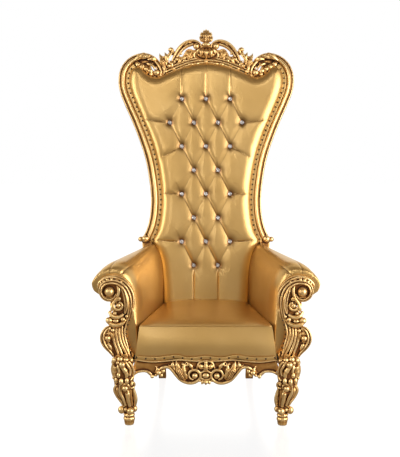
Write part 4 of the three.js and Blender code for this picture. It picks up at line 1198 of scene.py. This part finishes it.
def placePanel(across, rise):
    share = 2 * across - 1
    top = np.interp(np.abs(share), *np.array(panelTop, float).T)
    up = panel["bottom"] + rise * (top - panel["bottom"])
    half = np.interp(up, *np.array(panelSides, float).T) - 1
    edge = np.minimum(np.minimum((1 - np.abs(share)) * half, top - up), up - panel["bottom"])
    swell = np.clip(edge / 45, 0, 1)
    out = panel["board"] * np.sqrt(np.clip(edge / 4, 0, 1)) + panel["puff"] * np.sqrt(1 - (1 - swell) ** 2)
    return share * half, up, panel["front"] - out


backPanel = addSheet("back_panel", 90, 160, placePanel)
closeBack(backPanel, panel["front"])
standUp(backPanel, leaningPlane())
smoothShade(backPanel, 50)
finishPiece(backPanel, goldVinyl, "leather", "back_board")
sideLine = smoothLine([(half - panel["nailInset"], up) for up, half in panelSides[:-2]], 90)[2:-2]
for side, word in ((1, "right"), (-1, "left")):
    depth = np.full(len(sideLine), panel["front"] - panel["board"] - panel["nailOut"])
    points = np.column_stack([side * sideLine[:, 0], sideLine[:, 1], depth])
    addNails("panel_nails_" + word, points, panel["nailStep"], leaningPlane())

# The frame's plain pieces keep their CAD solids and get the plainer gilding.
for name in ("back_leg_left", "back_leg_right", "side_rail_left", "side_rail_right", "back_rail"):
    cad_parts[name].data.materials.clear()
    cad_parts[name].data.materials.append(plainGold)
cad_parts["seat_base"].data.materials.clear()
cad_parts["seat_base"].data.materials.append(dustCloth)

# Floor, lights and camera
bpy.ops.mesh.primitive_plane_add(size=30, location=(0, 0, -0.0005))
floor = bpy.context.object
floor.name = "floor"
floor.data.materials.append(makeFloor())

lights = [
    # name, place, size across and up, power, colour
    ("left_softbox", (-2.8, -1.4, 1.6), (0.9, 2.6), 36, (1, 0.97, 0.94)),
    ("right_softbox", (2.6, -1.8, 1.3), (2.2, 2.7), 100, (1, 0.97, 0.95)),
    ("top_softbox", (-0.4, -2.9, 3.4), (2.4, 0.6), 14, (1, 0.99, 0.96)),
    ("front_fill", (-1.3, -5.2, 2.6), (1.0, 1.2), 14, (1, 0.99, 0.96)),
]
for name, place, size, power, colour in lights:
    bpy.ops.object.light_add(type="AREA", location=place)
    lamp = bpy.context.object
    lamp.name = name
    lamp.data.shape = "RECTANGLE"
    lamp.data.size, lamp.data.size_y = size
    lamp.data.energy = power
    lamp.data.color = colour
    lamp.rotation_euler = (Vector((0, 0, 0.9)) - Vector(place)).to_track_quat("-Z", "Y").to_euler()

world = bpy.data.worlds.new("studio")
bpy.context.scene.world = world
world.use_nodes = True
tree = world.node_tree
tree.nodes.clear()
output = tree.nodes.new("ShaderNodeOutputWorld")
view = addNode(tree, "ShaderNodeTexCoord").outputs["Generated"]
upward = addNode(tree, "ShaderNodeSeparateXYZ", [(0, view)]).outputs["Z"]
lift = addNode(tree, "ShaderNodeMapRange", [("Value", upward), ("From Min", -0.3), ("From Max", 0.7)])
walls = addRamp(tree, lift.outputs["Result"], [
    (0.0, (0.1, 0.06, 0.035)), (0.26, (0.14, 0.09, 0.055)), (0.37, (0.62, 0.57, 0.5)),
    (0.56, (0.66, 0.62, 0.56)), (0.68, (0.36, 0.33, 0.28)), (0.82, (0.17, 0.12, 0.08)), (1.0, (0.13, 0.08, 0.045))])
depth = addNode(tree, "ShaderNodeSeparateXYZ", [(0, view)]).outputs["Y"]
behind = addNode(tree, "ShaderNodeMapRange", [("Value", depth), ("From Min", 0.05), ("From Max", 0.45)])
backdrop = addNode(tree, "ShaderNodeMix", [(0, behind.outputs["Result"]), (6, walls)], data_type="RGBA")
backdrop.inputs[7].default_value = (1.05, 1, 0.92, 1)  # the pale wall behind the throne
room = addNode(tree, "ShaderNodeBackground", [("Color", backdrop.outputs[2])])
white = addNode(tree, "ShaderNodeBackground", [("Color", (1, 1, 1, 1)), ("Strength", 1.0)])
seen = addNode(tree, "ShaderNodeLightPath").outputs["Is Camera Ray"]
mix = addNode(tree, "ShaderNodeMixShader", [(0, seen)])
tree.links.new(room.outputs[0], mix.inputs[1])
tree.links.new(white.outputs[0], mix.inputs[2])
tree.links.new(mix.outputs[0], output.inputs["Surface"])
bpy.context.scene.view_settings.view_transform = "Standard"

camera = {"y": -3737, "z": 1316.4, "tilt": 7.19, "turn": 0.44, "lens": 61.5}
bpy.ops.object.camera_add(
    location=(0, (camera["y"] + shiftY) * mm, camera["z"] * mm),
    rotation=(math.radians(90 - camera["tilt"]), 0, math.radians(camera["turn"])))
bpy.context.object.data.lens = camera["lens"]
bpy.context.scene.camera = bpy.context.object
print("stage ready")
